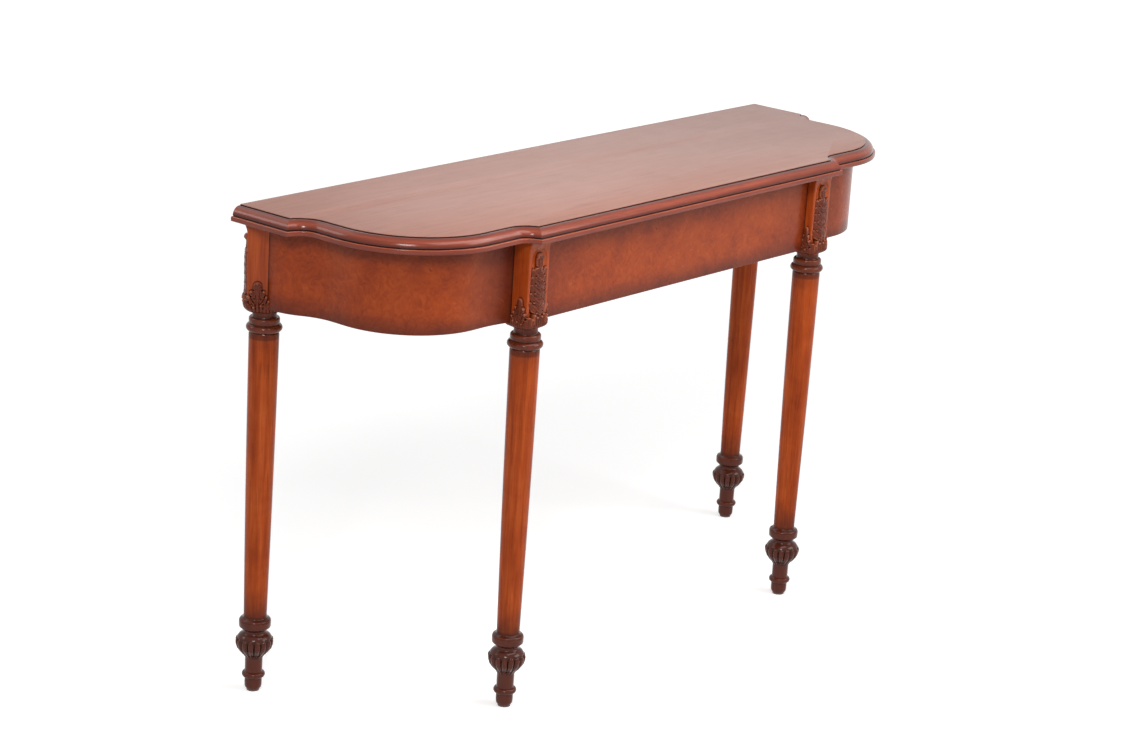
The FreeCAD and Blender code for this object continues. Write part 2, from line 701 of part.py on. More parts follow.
# cross rails under the top, screwed up into it
rail_z = top_under - s("rail_h")
rail_front = apron_t - apron_front
screw_rows = (-s("screw_span"), nil, s("screw_span"))
rail_mid = (rail_front + rail_in) / 2
cross_rail = body("cross_rail_left")
plan = rectangle(sketch(cross_rail, shift=rail_z), -(s("rail_x") + s("rail_w") / 2),
                 s("rail_w") / 2 - s("rail_x"), rail_front, rail_in)
feature(cross_rail, "Pad", plan, Length=s("rail_h"))
shank_holes = sketch(cross_rail, shift=rail_z)
head_holes = sketch(cross_rail, shift=rail_z)
for row in screw_rows:
    disc(shank_holes, s("screw_d") + gap * 2, -s("rail_x"), rail_mid + row)
    disc(head_holes, s("screw_head_d") + gap * 2, -s("rail_x"), rail_mid + row)
feature(cross_rail, "Pocket", shank_holes, Type="ThroughAll", Reversed=True)
feature(cross_rail, "Pocket", head_holes, Length=s("screw_head_t"), Reversed=True)

top_holes = sketch(top_panel, shift=top_under)
screws = []
for side in (-1, 1):
    for row in screw_rows:
        x = s("rail_x") * side
        y = rail_mid + row
        disc(top_holes, s("screw_d") + gap * 2, x, y)
        screw = body("top_screw")
        head = disc(sketch(screw), s("screw_head_d"))
        feature(screw, "Pad", head, Length=s("screw_head_t"))
        shank = disc(sketch(screw), s("screw_d"))
        feature(screw, "Pad", shank, Length=s("rail_h") + s("screw_bite"))
        place(screw, x, y, rail_z)
        screws.append(screw)
feature(top_panel, "Pocket", top_holes, Length=s("screw_bite"), Reversed=True)

# glue blocks behind the posts
block_low = apron_low + s("block_rise")
front_block = body("block_front_left")
deep = s("block_deep")
run_x = s("block_run")
outline_points = [
    (-post_outer_x, half_post - front_post_y), (-post_inner_x, half_post - front_post_y),
    (-post_inner_x, rail_front), (run_x - post_outer_x, rail_front),
    (run_x - post_outer_x, rail_front + deep / 2), (-post_inner_x, half_post + deep - front_post_y),
    (-post_outer_x, half_post + deep - front_post_y),
]
feature(front_block, "Pad", outline(sketch(front_block, shift=block_low), outline_points),
        Length=s("block_h"))

rear_block = body("block_rear_left")
rear_inner = by_rear_post(-half_post, -half_post)
rail_corner_x = rear_inner[0] + (rail_in - rear_inner[1])
outline_points = [
    rear_inner, (rail_corner_x, rail_in), (rail_corner_x + s("rear_block_run"), rail_in),
    by_rear_post(s("rear_block_side"), -(half_post + deep)),
    by_rear_post(s("rear_block_side"), -half_post),
]
feature(rear_block, "Pad", outline(sketch(rear_block, shift=block_low), outline_points),
        Length=s("block_h"))

# a hanger bolt joins each leg to its post, and each foot stands on a glide
bolts = []
glides = []
for side in (-1, 1):
    for x, y in ((front_post_x, -front_post_y), (rear_post_x, rear_post_y)):
        bolt = body("hanger_bolt")
        feature(bolt, "Pad", disc(sketch(bolt), s("bolt_d")), Length=s("bolt_l"))
        place(bolt, x * side, y, post_low - s("bolt_l") / 2)
        bolts.append(bolt)
        glide = body("foot_glide")
        feature(glide, "Pad", disc(sketch(glide), s("glide_d")), Length=s("glide_t"))
        feature(glide, "Pad", disc(sketch(glide), s("glide_pin_d")),
                Length=s("glide_t") + s("glide_pin_l"))
        place(glide, x * side, y)
        glides.append(glide)


def group(name, members):
    made = doc.addObject("Part::Compound", name)
    made.Label = name
    made.Links = members
    return made


# ---------------------------------------------------------------- the other side, and export

nodes = [
    top_panel, end_strip, corner_strip, front_strip, front_apron, side_apron, back_rail,
    front_post, rear_post, front_leg, rear_leg, cross_rail, front_block, rear_block,
    group("top_screws", screws), group("hanger_bolts", bolts), group("foot_glides", glides),
]
for source in (end_strip, corner_strip, side_apron, front_post, rear_post, front_leg, rear_leg,
               cross_rail, front_block, rear_block):
    nodes.append(mirror(source, source.Label.replace("left", "right")))
doc.recompute()

for obj in doc.Objects:
    if "Invalid" in obj.State or "Error" in obj.State:
        raise SystemExit("%s is not sound: %s" % (obj.Label, obj.State))
for node in nodes:
    if node.Shape.isNull() or not node.Shape.isValid():
        raise SystemExit("%s has no sound shape" % node.Label)
for node in nodes:
    node.Shape.exportStep("parts/%s.step" % node.Label)
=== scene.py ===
import math

import bpy
import numpy as np
from mathutils import Matrix, Vector

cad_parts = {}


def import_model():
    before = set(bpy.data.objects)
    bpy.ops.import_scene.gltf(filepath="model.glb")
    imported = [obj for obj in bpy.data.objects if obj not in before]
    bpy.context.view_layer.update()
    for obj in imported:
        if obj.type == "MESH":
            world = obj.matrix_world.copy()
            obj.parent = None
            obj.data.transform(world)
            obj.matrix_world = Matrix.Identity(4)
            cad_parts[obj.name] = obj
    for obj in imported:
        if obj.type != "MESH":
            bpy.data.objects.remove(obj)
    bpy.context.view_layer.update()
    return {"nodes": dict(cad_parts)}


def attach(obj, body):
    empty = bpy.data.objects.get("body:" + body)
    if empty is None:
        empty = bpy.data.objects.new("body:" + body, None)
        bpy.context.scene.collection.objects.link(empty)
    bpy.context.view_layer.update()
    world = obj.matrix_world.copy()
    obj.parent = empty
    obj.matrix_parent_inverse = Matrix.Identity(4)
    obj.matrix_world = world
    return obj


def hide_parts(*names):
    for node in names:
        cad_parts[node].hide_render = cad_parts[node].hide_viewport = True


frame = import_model()

# Lengths below are in millimetres until a mesh is made. Places beside the middle are given
# for the left side, where x is below 0, and the right side is its mirror image.
MM = 0.001
TOP_Z = 780.0
TOP_UNDER = 756.0
APRON_LOW = 625.0
POST_LOW = 617.0
POST_H = TOP_UNDER - POST_LOW
BACK_Y = 188.0
HALF_POST = 23.0
NECK_R = 18.6
FRONT_POST = (-364.0, -147.0)
REAR_POST = (-612.6, 158.4)
REAR_MORE = 7.0
REAR_TURN = -135.0


# ---------------------------------------------------------------- meshes

def make_piece(name, points, faces, slot, materials, replaces, uvs=None, attributes=None,
               face_slots=None, sharp=35.0):
    """A mesh piece from points in millimetres.

    replaces: the CAD nodes it stands for. uvs: one pair per face corner. attributes: names to
    one value per point. sharp: the angle from which an edge isn't smoothed, in degrees.
    """
    mesh = bpy.data.meshes.new(name)
    mesh.from_pydata((np.asarray(points) * MM).tolist(), [], faces)
    for material in materials:
        mesh.materials.append(material)
    if uvs is not None:
        layer = mesh.uv_layers.new(name="grain")
        layer.data.foreach_set("uv", (np.asarray(uvs, float) * MM).ravel())
    for key, values in (attributes or {}).items():
        layer = mesh.attributes.new(key, "FLOAT", "POINT")
        layer.data.foreach_set("value", np.asarray(values, np.float32).ravel())
    if face_slots is not None:
        mesh.polygons.foreach_set("material_index", face_slots)
    mesh.polygons.foreach_set("use_smooth", [True] * len(mesh.polygons))
    mesh.set_sharp_from_angle(angle=math.radians(sharp))
    mesh.update()
    piece = bpy.data.objects.new(name, mesh)
    bpy.context.scene.collection.objects.link(piece)
    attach(piece, "root")
    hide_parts(*replaces)


def grid_faces(rows, columns):
    """Quads of rings of points, ring by ring, and the ring and column of each face corner."""
    faces = []
    corners = []
    for i in range(rows - 1):
        for j in range(columns):
            after = (j + 1) % columns
            faces.append((i * columns + j, i * columns + after,
                          (i + 1) * columns + after, (i + 1) * columns + j))
            corners += [(i, j), (i, j + 1), (i + 1, j + 1), (i + 1, j)]
    return faces, np.array(corners)


def end_caps(rows, columns):
    """The faces that close the first and the last ring."""
    return [tuple(range(columns))[::-1], tuple(range((rows - 1) * columns, rows * columns))]


def mirrored(points):
    flipped = np.array(points, float)
    flipped[..., 0] *= -1
    return flipped


# ---------------------------------------------------------------- plan lines

def straight(start, stop, normal, step=12.0):
    """Points and outward directions of a straight stretch."""
    start, stop = np.array(start, float), np.array(stop, float)
    count = max(2, int(np.linalg.norm(stop - start) / step) + 1)
    share = np.linspace(0, 1, count)[:, None]
    return start + (stop - start) * share, np.tile(np.array(normal, float), (count, 1))


def arc(centre, start, stop, outward, step=2.5):
    """Arc from start to stop round centre. outward: 1 if the far side from centre is outside."""
    centre, start, stop = (np.array(p, float) for p in (centre, start, stop))
    radius = np.linalg.norm(start - centre)
    first = math.atan2(*(start - centre)[::-1])
    sweep = (math.atan2(*(stop - centre)[::-1]) - first + math.pi) % (2 * math.pi) - math.pi
    count = max(3, int(abs(sweep) * radius / step) + 1)
    angles = first + sweep * np.linspace(0, 1, count)
    away = np.stack([np.cos(angles), np.sin(angles)], 1)
    return centre + away * radius, away * outward


def join(*parts):
    """One line from several, with doubled points left out."""
    points, normals = list(parts[0][0]), list(parts[0][1])
    for more, directions in parts[1:]:
        points += list(more[1:])
        normals += list(directions[1:])
    return np.array(points), np.array(normals)


def half_chord(radius, rise):
    return math.sqrt(2 * radius * rise - rise * rise)


# The board's outline: an ear with a cove before it, a bow round the shoulder, a front cove.
END_X, FLANK_X, EAR_Y, EAR_R = 641.0, 611.5, 83.6, 45.5
BOW_R, SHOULDER_Y, COVE_R = 145.0, 146.0, 40.0
FRONT_X, FRONT_Y = 375.0, 169.5
EAR_CHORD = half_chord(EAR_R, END_X - FLANK_X)
EAR_COVE_Y = EAR_Y - EAR_CHORD
EAR_COVE = (-(FLANK_X + EAR_R), EAR_COVE_Y)
BOW = (-(FLANK_X - BOW_R), BOW_R - SHOULDER_Y)
FRONT_CHORD = half_chord(COVE_R, FRONT_Y - SHOULDER_Y)
FRONT_COVE = (-(FRONT_X + FRONT_CHORD), -(SHOULDER_Y + COVE_R))

EAR_CORNER = (-END_X, EAR_Y)
FRONT_CORNER = (-FRONT_X, -FRONT_Y)
end_line = straight((-END_X, BACK_Y), EAR_CORNER, (-1, 0))
corner_line = join(
    arc(EAR_COVE, EAR_CORNER, (-FLANK_X, EAR_COVE_Y), -1),
    straight((-FLANK_X, EAR_COVE_Y), (-FLANK_X, BOW[1]), (-1, 0)),
    arc(BOW, (-FLANK_X, BOW[1]), (BOW[0], -SHOULDER_Y), 1),
    straight((BOW[0], -SHOULDER_Y), (FRONT_COVE[0], -SHOULDER_Y), (0, -1)),
    arc(FRONT_COVE, (FRONT_COVE[0], -SHOULDER_Y), FRONT_CORNER, -1),
)
front_line = straight(FRONT_CORNER, (FRONT_X, -FRONT_Y), (0, -1))


def mitre(first, second):
    """Vector along a mitre whose share across each strip is 1."""
    both = np.array(first) + np.array(second)
    return both / (both @ np.array(first))


def lengths_along(points):
    """Length of the line from its first point to each point."""
    steps = np.linalg.norm(np.diff(points, axis=0), axis=1)
    return np.concatenate([[0], np.cumsum(steps)])


def sweep(name, line, section, slot, materials, ends=(None, None), flip=False, **more):
    """Sweeps a closed section of (outward, z) points along a plan line, with capped ends."""
    points, normals = line[0], np.array(line[1])
    for index, end in zip((0, -1), ends):
        if end is not None:
            normals[index] = end
    section = np.array(section)
    rows, columns = len(points), len(section)
    body = np.empty((rows, columns, 3))
    body[..., :2] = points[:, None, :] + normals[:, None, :] * section[None, :, :1]
    body[..., 2] = section[None, :, 1]
    along = lengths_along(points)
    girth = lengths_along(np.vstack([section, section[:1]]))
    faces, corners = grid_faces(rows, columns)
    uvs = np.stack([along[corners[:, 0]], girth[corners[:, 1]]], 1)
    caps = end_caps(rows, columns)
    if flip:
        body = mirrored(body)
        faces = [f[::-1] for f in faces]
        uvs = uvs.reshape(-1, 4, 2)[:, ::-1].reshape(-1, 2)
        caps = [c[::-1] for c in caps]
    cap_uvs = np.concatenate([section[[i % columns for i in c]] for c in caps])
    make_piece(name, body.reshape(-1, 3), faces + caps, slot, materials,
               uvs=np.concatenate([uvs, cap_uvs]), **more)


def quarter(centre, radius, start, stop, count=5):
    """Points of a small arc, angles in degrees."""
    angles = np.radians(np.linspace(start, stop, count))
    return [(centre[0] + radius * math.cos(a), centre[1] + radius * math.sin(a))
            for a in angles]


# ---------------------------------------------------------------- materials

class Net:
    """Builds a material's nodes. Inputs are numbers, colours or sockets."""

    def __init__(self, name):
        self.material = bpy.data.materials.new(name)
        self.material.use_nodes = True
        self.tree = self.material.node_tree
        self.shader = self.tree.nodes["Principled BSDF"]

    def node(self, kind, inputs=None, **settings):
        made = self.tree.nodes.new("ShaderNode" + kind)
        for key, value in settings.items():
            setattr(made, key, value)
        for key, value in (inputs or {}).items():
            self.put(made.inputs[key], value)
        return made

    def put(self, socket, value):
        if isinstance(value, bpy.types.NodeSocket):
            self.tree.links.new(value, socket)
        elif isinstance(value, tuple) and len(value) == 3 and socket.type == "RGBA":
            socket.default_value = (*value, 1.0)
        else:
            socket.default_value = value

    def set(self, **inputs):
        """Inputs of the shader, with _ for the blanks in their names."""
        for key, value in inputs.items():
            self.put(self.shader.inputs[key.replace("_", " ")], value)

    def place(self):
        return self.node("TexCoord").outputs["Object"]

    def height(self):
        return self.node("SeparateXYZ", {0: self.place()}).outputs["Z"]

    def grain_place(self):
        return self.node("UVMap", uv_map="grain").outputs["UV"]

    def attribute(self, name):
        return self.node("Attribute", attribute_name=name).outputs["Fac"]

    def math(self, operation, a, b):
        return self.node("Math", {0: a, 1: b}, operation=operation).outputs[0]

    def plus(self, a, b):
        return self.math("ADD", a, b)

    def times(self, a, b):
        return self.math("MULTIPLY", a, b)

    def larger(self, a, b):
        return self.math("MAXIMUM", a, b)

    def between(self, value, low, high):
        """0 at low, 1 at high, smooth between them."""
        return self.node("MapRange", {"Value": value, "From Min": low, "From Max": high},
                         interpolation_type="SMOOTHSTEP").outputs[0]

    def below(self, value, low, high):
        """1 at low, 0 at high, smooth between them."""
        return self.math("SUBTRACT", 1.0, self.between(value, low, high))

    def mix(self, factor, a, b, blend="MIX"):
        made = self.node("Mix", data_type="RGBA", blend_type=blend, clamp_factor=True)
        for name, value in (("Factor_Float", factor), ("A_Color", a), ("B_Color", b)):
            socket = next(s for s in made.inputs if s.identifier == name)
            self.put(socket, value)
        return next(s for s in made.outputs if s.identifier == "Result_Color")

    def glaze(self, colour, share, strength, tint):
        """Lays tint over colour, where share is 1 as thickly as strength says."""
        return self.mix(self.times(share, strength), colour, tint)

    def noise(self, where, scale, detail, rough=0.55, twist=0.0):
        return self.node("TexNoise", {"Vector": where, "Scale": scale, "Detail": detail,
                                      "Roughness": rough, "Distortion": twist}).outputs["Fac"]

    def ramp(self, value, stops):
        """Smooth colour or grey ramp through (place, colour) stops."""
        made = self.node("ValToRGB", {"Fac": value})
        ramp = made.color_ramp
        while len(ramp.elements) < len(stops):
            ramp.elements.new(0.5)
        for element, (place, colour) in zip(ramp.elements, stops):
            element.position = place
            grey = isinstance(colour, float)
            element.color = (colour, colour, colour, 1) if grey else (*colour, 1)
        return made.outputs["Color"]

    def vectors(self, operation, a, b):
        return self.node("VectorMath", {0: a, 1: b}, operation=operation).outputs[0]

    def bump(self, height, strength, distance):
        return self.node("Bump", {"Height": height, "Strength": strength,
                                  "Distance": distance}).outputs["Normal"]


# Tints of the glazes and stains and of the painted shade, shadow, sheen and highlights, as linear
# colours.
LEAF_DARK, LEAF_LIGHT = (0.060, 0.010, 0.004), (0.15, 0.025, 0.008)
RECESS_STAIN_AND_SHADE_TINT = (0.030, 0.006, 0.003)
CREST_HIGHLIGHT_TINT = (0.40, 0.125, 0.065)
SHAFT_TINT = (0.075, 0.017, 0.009)
FOOT_TINT = (0.06, 0.011, 0.006)
RING_TINT = (0.045, 0.010, 0.007)
GROOVE_GLAZE_AND_SHADE_TINT = (0.022, 0.006, 0.004)
APRON_TONER_AND_SHADE_TINT = (0.050, 0.010, 0.008)
SEAM_SHADOW_TINT = (0.010, 0.003, 0.002)
HOLLOW_GLAZE_AND_SHADE_TINT = (0.014, 0.003, 0.002)
SHEEN_AND_HIGHLIGHT_TINT = (0.46, 0.135, 0.060)

# Heights between which the glazes and the painted shade fade out, in metres.
FOOT_FADE, SHAFT_LOW_FADE = (0.128, 0.150), (0.130, 0.200)
SHAFT_UNDER_COLLAR_SHADE_FADE, RING_FADE = (0.560, 0.598), (0.5735, 0.5770)
APRON_LOW_FADE, APRON_UNDER_MOULDING_SHADE_FADE = (0.630, 0.674), (0.725, 0.770)

# How often a pattern repeats along the grain for each time that it repeats across.
STREAK_RATIO, PORE_RATIO = 0.05, 0.018
EYE_RATIO, FINE_RATIO = (1.0, 0.45, 1.0), (1.0, 0.25, 1.0)


def carving_shade(net, colour, clouds):
    """Leaves stained dark, darker in their hollows as stain and painted shade, and lighter on
    their crests as a painted highlight.
    """
    recess_stain_and_shade = net.attribute("recess_stain_and_shade")
    relief = net.attribute("relief")
    colour = net.glaze(colour, relief, 0.92, net.mix(clouds, LEAF_DARK, LEAF_LIGHT))
    # stain and painted shade darken the carving's hollows
    colour = net.glaze(colour, recess_stain_and_shade, 0.88, RECESS_STAIN_AND_SHADE_TINT)
    # a painted highlight lightens the crests of the leaves
    return net.glaze(colour, net.attribute("crest_highlight"), 0.75, CREST_HIGHLIGHT_TINT)


def leg_shade(net, colour, where):
    """Darker at both ends of the shaft, at its top as painted shade under the collar; the stain is
    darker on the rings and the foot, with glaze and painted shade in the hollows.
    """
    z = net.plus(net.height(), net.times(net.noise(where, 60.0, 2.0), 0.03))
    # painted shade at the top of the shaft, under the collar
    high = net.times(net.between(z, *SHAFT_UNDER_COLLAR_SHADE_FADE), 0.4)
    ends = net.larger(net.below(z, *SHAFT_LOW_FADE), high)
    colour = net.glaze(colour, ends, 0.78, SHAFT_TINT)
    colour = net.glaze(colour, net.below(z, *FOOT_FADE), 0.6, FOOT_TINT)
    colour = net.glaze(colour, net.between(net.height(), *RING_FADE), 0.6, RING_TINT)
    # glaze and painted shade in the necks between rings and between the ribs of the bulb
    return net.glaze(colour, net.attribute("groove_glaze_and_shade"), 0.75, GROOVE_GLAZE_AND_SHADE_TINT)


def apron_shade(net, colour, where):
    """Toned darker along the lower edge and at the ends of each veneered piece, with painted shade
    under the moulding and by the posts.
    """
    z = net.plus(net.height(), net.times(net.noise(where, 22.0, 2.0), 0.02))
    low = net.below(z, *APRON_LOW_FADE)
    # painted shade along the upper edge, under the moulding
    high = net.times(net.between(z, *APRON_UNDER_MOULDING_SHADE_FADE), 0.7)
    dark = net.larger(net.larger(low, high), net.attribute("ends"))
    colour = net.glaze(colour, dark, 0.72, APRON_TONER_AND_SHADE_TINT)
    # a painted shadow line where the apron meets a post
    return net.glaze(colour, net.attribute("seam_shadow"), 0.92, SEAM_SHADOW_TINT)


def edge_shade(net, colour, where):
    """Dark glaze and painted shade in the hollows of the moulding, and a painted sheen and
    highlights where it is lighter.
    """
    glaze_shade_and_sheen = net.attribute("glaze_shade_and_sheen")
    patchy = net.plus(0.55, net.times(net.noise(where, 45.0, 3.0), 0.8))
    # dark is glaze and painted shade in the hollows; light is a painted sheen and highlight
    dark = net.times(net.larger(glaze_shade_and_sheen, 0.0), patchy)
    light = net.times(net.larger(net.times(glaze_shade_and_sheen, -1.0), 0.0), patchy)
    return net.mix(light, net.mix(dark, colour, HOLLOW_GLAZE_AND_SHADE_TINT), SHEEN_AND_HIGHLIGHT_TINT)


def wood(name, tones, along, gloss, level, uv=False, figure=0.5, shade=None, carved=False):
    """Stained, lacquered wood.

    tones: dark, middle and light. along: the axis of the grain. gloss: the roughness of the
    lacquer, and level: its specular level. figure: the share of clouds against streaks.
    """
    net = Net(name)
    where = net.grain_place() if uv else net.place()

    def drawn_out(ratio):
        factors = tuple(ratio if axis == along else 1.0 for axis in range(3))
        return net.vectors("MULTIPLY", where, factors)

    streaks = net.noise(drawn_out(STREAK_RATIO), 130.0, 5.0, 0.6, 0.4)
    pores = net.noise(drawn_out(PORE_RATIO), 900.0, 2.0, 0.5)
    clouds = net.noise(where, 16.0, 4.0, 0.6, 0.8)
    tone = net.plus(net.times(streaks, 1 - figure), net.times(clouds, figure))
    colour = net.ramp(tone, [(0.30, tones[0]), (0.50, tones[1]), (0.70, tones[2])])
    colour = net.mix(0.45, colour, net.ramp(pores, [(0.34, 0.45), (0.44, 1.0)]), "MULTIPLY")
    if shade is not None:
        colour = shade(net, colour, where)
    if carved:
        colour = carving_shade(net, colour, clouds)
    height = net.plus(net.times(pores, 0.35), net.times(streaks, 0.65))
    net.set(Base_Color=colour, Roughness=net.plus(gloss - 0.05, net.times(clouds, 0.1)),
            Normal=net.bump(height, 0.12, 0.0004), Specular_IOR_Level=level)
    return net.material


def burl(name, tones, shade):
    """Figured veneer: swirling clouds, small eyes and a fine grain under lacquer."""
    net = Net(name)
    where = net.grain_place()
    warp = net.node("TexNoise", {"Vector": where, "Scale": 14.0, "Detail": 3.0}).outputs["Color"]
    bent = net.vectors("ADD", where, net.vectors("MULTIPLY", warp, (0.05, 0.05, 0.0)))
    swirl = net.noise(bent, 80.0, 6.0, 0.64, 1.6)
    big = net.noise(where, 16.0, 3.0, 0.5, 0.6)
    eyes = net.node("TexVoronoi", {"Vector": net.vectors("MULTIPLY", bent, EYE_RATIO),
                                   "Scale": 85.0, "Randomness": 1.0}).outputs["Distance"]
    fine = net.noise(net.vectors("MULTIPLY", bent, FINE_RATIO), 620.0, 3.0, 0.6)
    tone = net.plus(net.times(swirl, 0.6), net.times(big, 0.4))
    colour = net.ramp(tone, [(0.34, tones[0]), (0.5, tones[1]), (0.66, tones[2])])
    spots = net.ramp(eyes, [(0.03, 0.25), (0.13, 1.0)])
    patch = net.ramp(net.noise(where, 30.0, 2.0), [(0.52, 0.0), (0.64, 0.9)])
    colour = net.mix(patch, colour, net.mix(1.0, colour, spots, "MULTIPLY"))
    colour = net.mix(0.30, colour, net.ramp(fine, [(0.32, 0.55), (0.5, 1.0)]), "MULTIPLY")
    net.set(Base_Color=shade(net, colour, where),
            Roughness=net.plus(0.20, net.times(big, 0.12)),
            Normal=net.bump(fine, 0.05, 0.0003), Specular_IOR_Level=0.16)
    return net.material


def metal(name, colour, rough):
    net = Net(name)
    worn = net.noise(net.place(), 420.0, 3.0)
    net.set(Base_Color=net.mix(worn, colour, tuple(c * 0.75 for c in colour)),
            Roughness=net.plus(rough, net.times(worn, 0.2)), Metallic=1.0)
    return net.material


def plastic(name, colour):
    net = Net(name)
    grain = net.noise(net.place(), 900.0, 2.0)
    net.set(Base_Color=net.mix(grain, colour, tuple(c * 1.5 for c in colour)),
            Normal=net.bump(grain, 0.2, 0.0002), Roughness=0.5)
    return net.material


TOP_TONES = ((0.31, 0.132, 0.095), (0.33, 0.147, 0.107), (0.35, 0.160, 0.118))
EDGE_TONES = ((0.155, 0.022, 0.010), (0.225, 0.036, 0.016), (0.29, 0.052, 0.024))
GAP_GLAZE_AND_SHADOW_TONES = ((0.018, 0.005, 0.003), (0.024, 0.006, 0.004), (0.032, 0.008, 0.005))
LEG_TONES = ((0.20, 0.026, 0.004), (0.35, 0.055, 0.008), (0.47, 0.094, 0.018))
POST_TONES = ((0.24, 0.034, 0.006), (0.36, 0.057, 0.009), (0.45, 0.088, 0.017))
APRON_TONES = ((0.20, 0.026, 0.005), (0.30, 0.044, 0.007), (0.38, 0.066, 0.012))
RAW_TONES = ((0.36, 0.22, 0.13), (0.47, 0.31, 0.19), (0.55, 0.39, 0.25))

TOP_WOOD = wood("top_wood", TOP_TONES, along=0, gloss=0.33, level=0.28, figure=0.04)
EDGE_WOOD = wood("edge_wood", EDGE_TONES, along=0, gloss=0.17, level=0.30, uv=True, figure=0.3,
                 shade=edge_shade)
# the board's side by the moulding: dark glaze and a painted shadow of the gap
GAP_GLAZE_AND_SHADOW_WOOD = wood("gap_glaze_and_shadow_wood", GAP_GLAZE_AND_SHADOW_TONES, along=0, gloss=0.55, level=0.04)
LEG_WOOD = wood("leg_wood", LEG_TONES, along=2, gloss=0.18, level=0.09, figure=0.3,
                shade=leg_shade)
RING_WOOD = wood("ring_wood", LEG_TONES, along=2, gloss=0.12, level=0.2, figure=0.3,
                 shade=leg_shade)
POST_WOOD = wood("post_wood", POST_TONES, along=2, gloss=0.15, level=0.16, figure=0.35,
                 carved=True)
APRON_WOOD = burl("apron_wood", APRON_TONES, apron_shade)
RAW_WOOD = wood("raw_wood", RAW_TONES, along=0, gloss=0.62, level=0.3, figure=0.3)
STEEL = metal("zinc_steel", (0.62, 0.62, 0.60), 0.28)
GLIDE = plastic("glide_plastic", (0.10, 0.06, 0.05))

for key, node in frame["nodes"].items():
    finish = RAW_WOOD
    if key in ("top_screws", "hanger_bolts"):
        finish = STEEL
    elif key == "foot_glides":
        finish = GLIDE
    node.data.materials.clear()
    node.data.materials.append(finish)


# ---------------------------------------------------------------- top and moulding

def top_panel():
    """The veneered board, its upper edge softened, with the straight edge at the back."""
    points, normals = join(end_line, corner_line)
    points = np.concatenate([points, mirrored(points)[::-1]])
    normals = np.concatenate([normals, mirrored(normals)[::-1]])
    drop = [(-0.8, TOP_Z), (-0.25, TOP_Z - 0.25), (0.0, TOP_Z - 0.9), (0.0, TOP_UNDER)]
    rings = []
    for out, z in drop:
        ring = points + normals * out
        ring[0, 1] = ring[-1, 1] = BACK_Y + min(out, 0)
        rings.append(np.column_stack([ring, np.full(len(ring), z)]))
    count = len(points)
    faces, _ = grid_faces(len(drop), count)
    faces = [f[::-1] for f in faces + end_caps(len(drop), count)]
    # 0 is the veneer, 1 the bare underside and 2 the side next to the moulding, dark with glaze
    # and a painted shadow of the gap
    slots = [0] * (len(drop) - 2) * count + [2] * count + [0, 1]
    make_piece("top_board", np.concatenate(rings), faces, "top_veneer",
               [TOP_WOOD, RAW_WOOD, GAP_GLAZE_AND_SHADOW_WOOD], face_slots=slots, sharp=50.0,
               replaces=["top_panel"])


top_panel()

MOULDING_TOP = 778.0
OVOLO_OUT, OVOLO_LOW = 15.0, 764.5
OVOLO_WIDE, OVOLO_TALL = 13.0, 13.5
OVOLO_R = (OVOLO_WIDE ** 2 + OVOLO_TALL ** 2) / (2 * OVOLO_WIDE)
OVOLO_START = math.degrees(math.asin(OVOLO_TALL / OVOLO_R))
LIP_OUT, LIP_R = 17.0, 1.5
MOULDING = (
    [(0.0, TOP_UNDER), (0.0, MOULDING_TOP), (1.5, MOULDING_TOP)]
    + quarter((OVOLO_OUT - OVOLO_R, OVOLO_LOW), OVOLO_R, OVOLO_START - 1, 4, 14)
    + [(14.7, 764.6), (14.1, 764.4), (14.0, 763.7), (14.6, 763.5)]
    + quarter((LIP_OUT, 762.0), LIP_R, 90, 0)
    + quarter((LIP_OUT, TOP_UNDER + LIP_R), LIP_R, 0, -90)
)
# darkness of each point of the section: 1 under dark glaze and painted shade, -1 where a painted
# sheen and highlight lighten it
MOULDING_GLAZE_SHADE_AND_SHEEN = (
    [0.9, 0.9, 0.9]
    + [0.75, 0.6, 0.45, 0.3, 0.15, 0.0, -0.1, -0.15, -0.1, 0.0, 0.1, 0.3, 0.55, 0.85]
    + [1.0, 1.0, 1.0, 0.6]
    + [-0.5, -0.7, -0.4, 0.0, 0.1]
    + [0.15, 0.2, 0.3, 0.4, 0.5]
)


def edge_strip(name, line, node, ends, flip=False):
    sweep(name, line, MOULDING, "moulding_wood", [EDGE_WOOD], ends=ends, flip=flip,
          attributes={"glaze_shade_and_sheen": np.tile(MOULDING_GLAZE_SHADE_AND_SHEEN, len(line[0]))}, replaces=[node])


EAR_MITRE = mitre((-1, 0), corner_line[1][0])
FRONT_MITRE = mitre((0, -1), corner_line[1][-1])
for side, flip in (("left", False), ("right", True)):
    edge_strip("edge_%s_end" % side, end_line, "moulding_%s_end" % side,
               (None, EAR_MITRE), flip)
    edge_strip("edge_%s_corner" % side, corner_line, "moulding_%s_corner" % side,
               (EAR_MITRE, FRONT_MITRE), flip)
edge_strip("edge_front", front_line, "moulding_front",
           (FRONT_MITRE, FRONT_MITRE * np.array([-1, 1])))


# ---------------------------------------------------------------- aprons

APRON_T = 18.0
APRON_ROUND = 1.2
# the show face from its lower edge up, then the two points of the bare inner side
APRON_SECTION = (
    quarter((-APRON_ROUND, APRON_LOW + APRON_ROUND), APRON_ROUND, -90, 0)
    + [(0.0, z) for z in np.linspace(APRON_LOW + 12, TOP_UNDER, 12)]
    + [(-APRON_T, TOP_UNDER), (-APRON_T, APRON_LOW)]
)
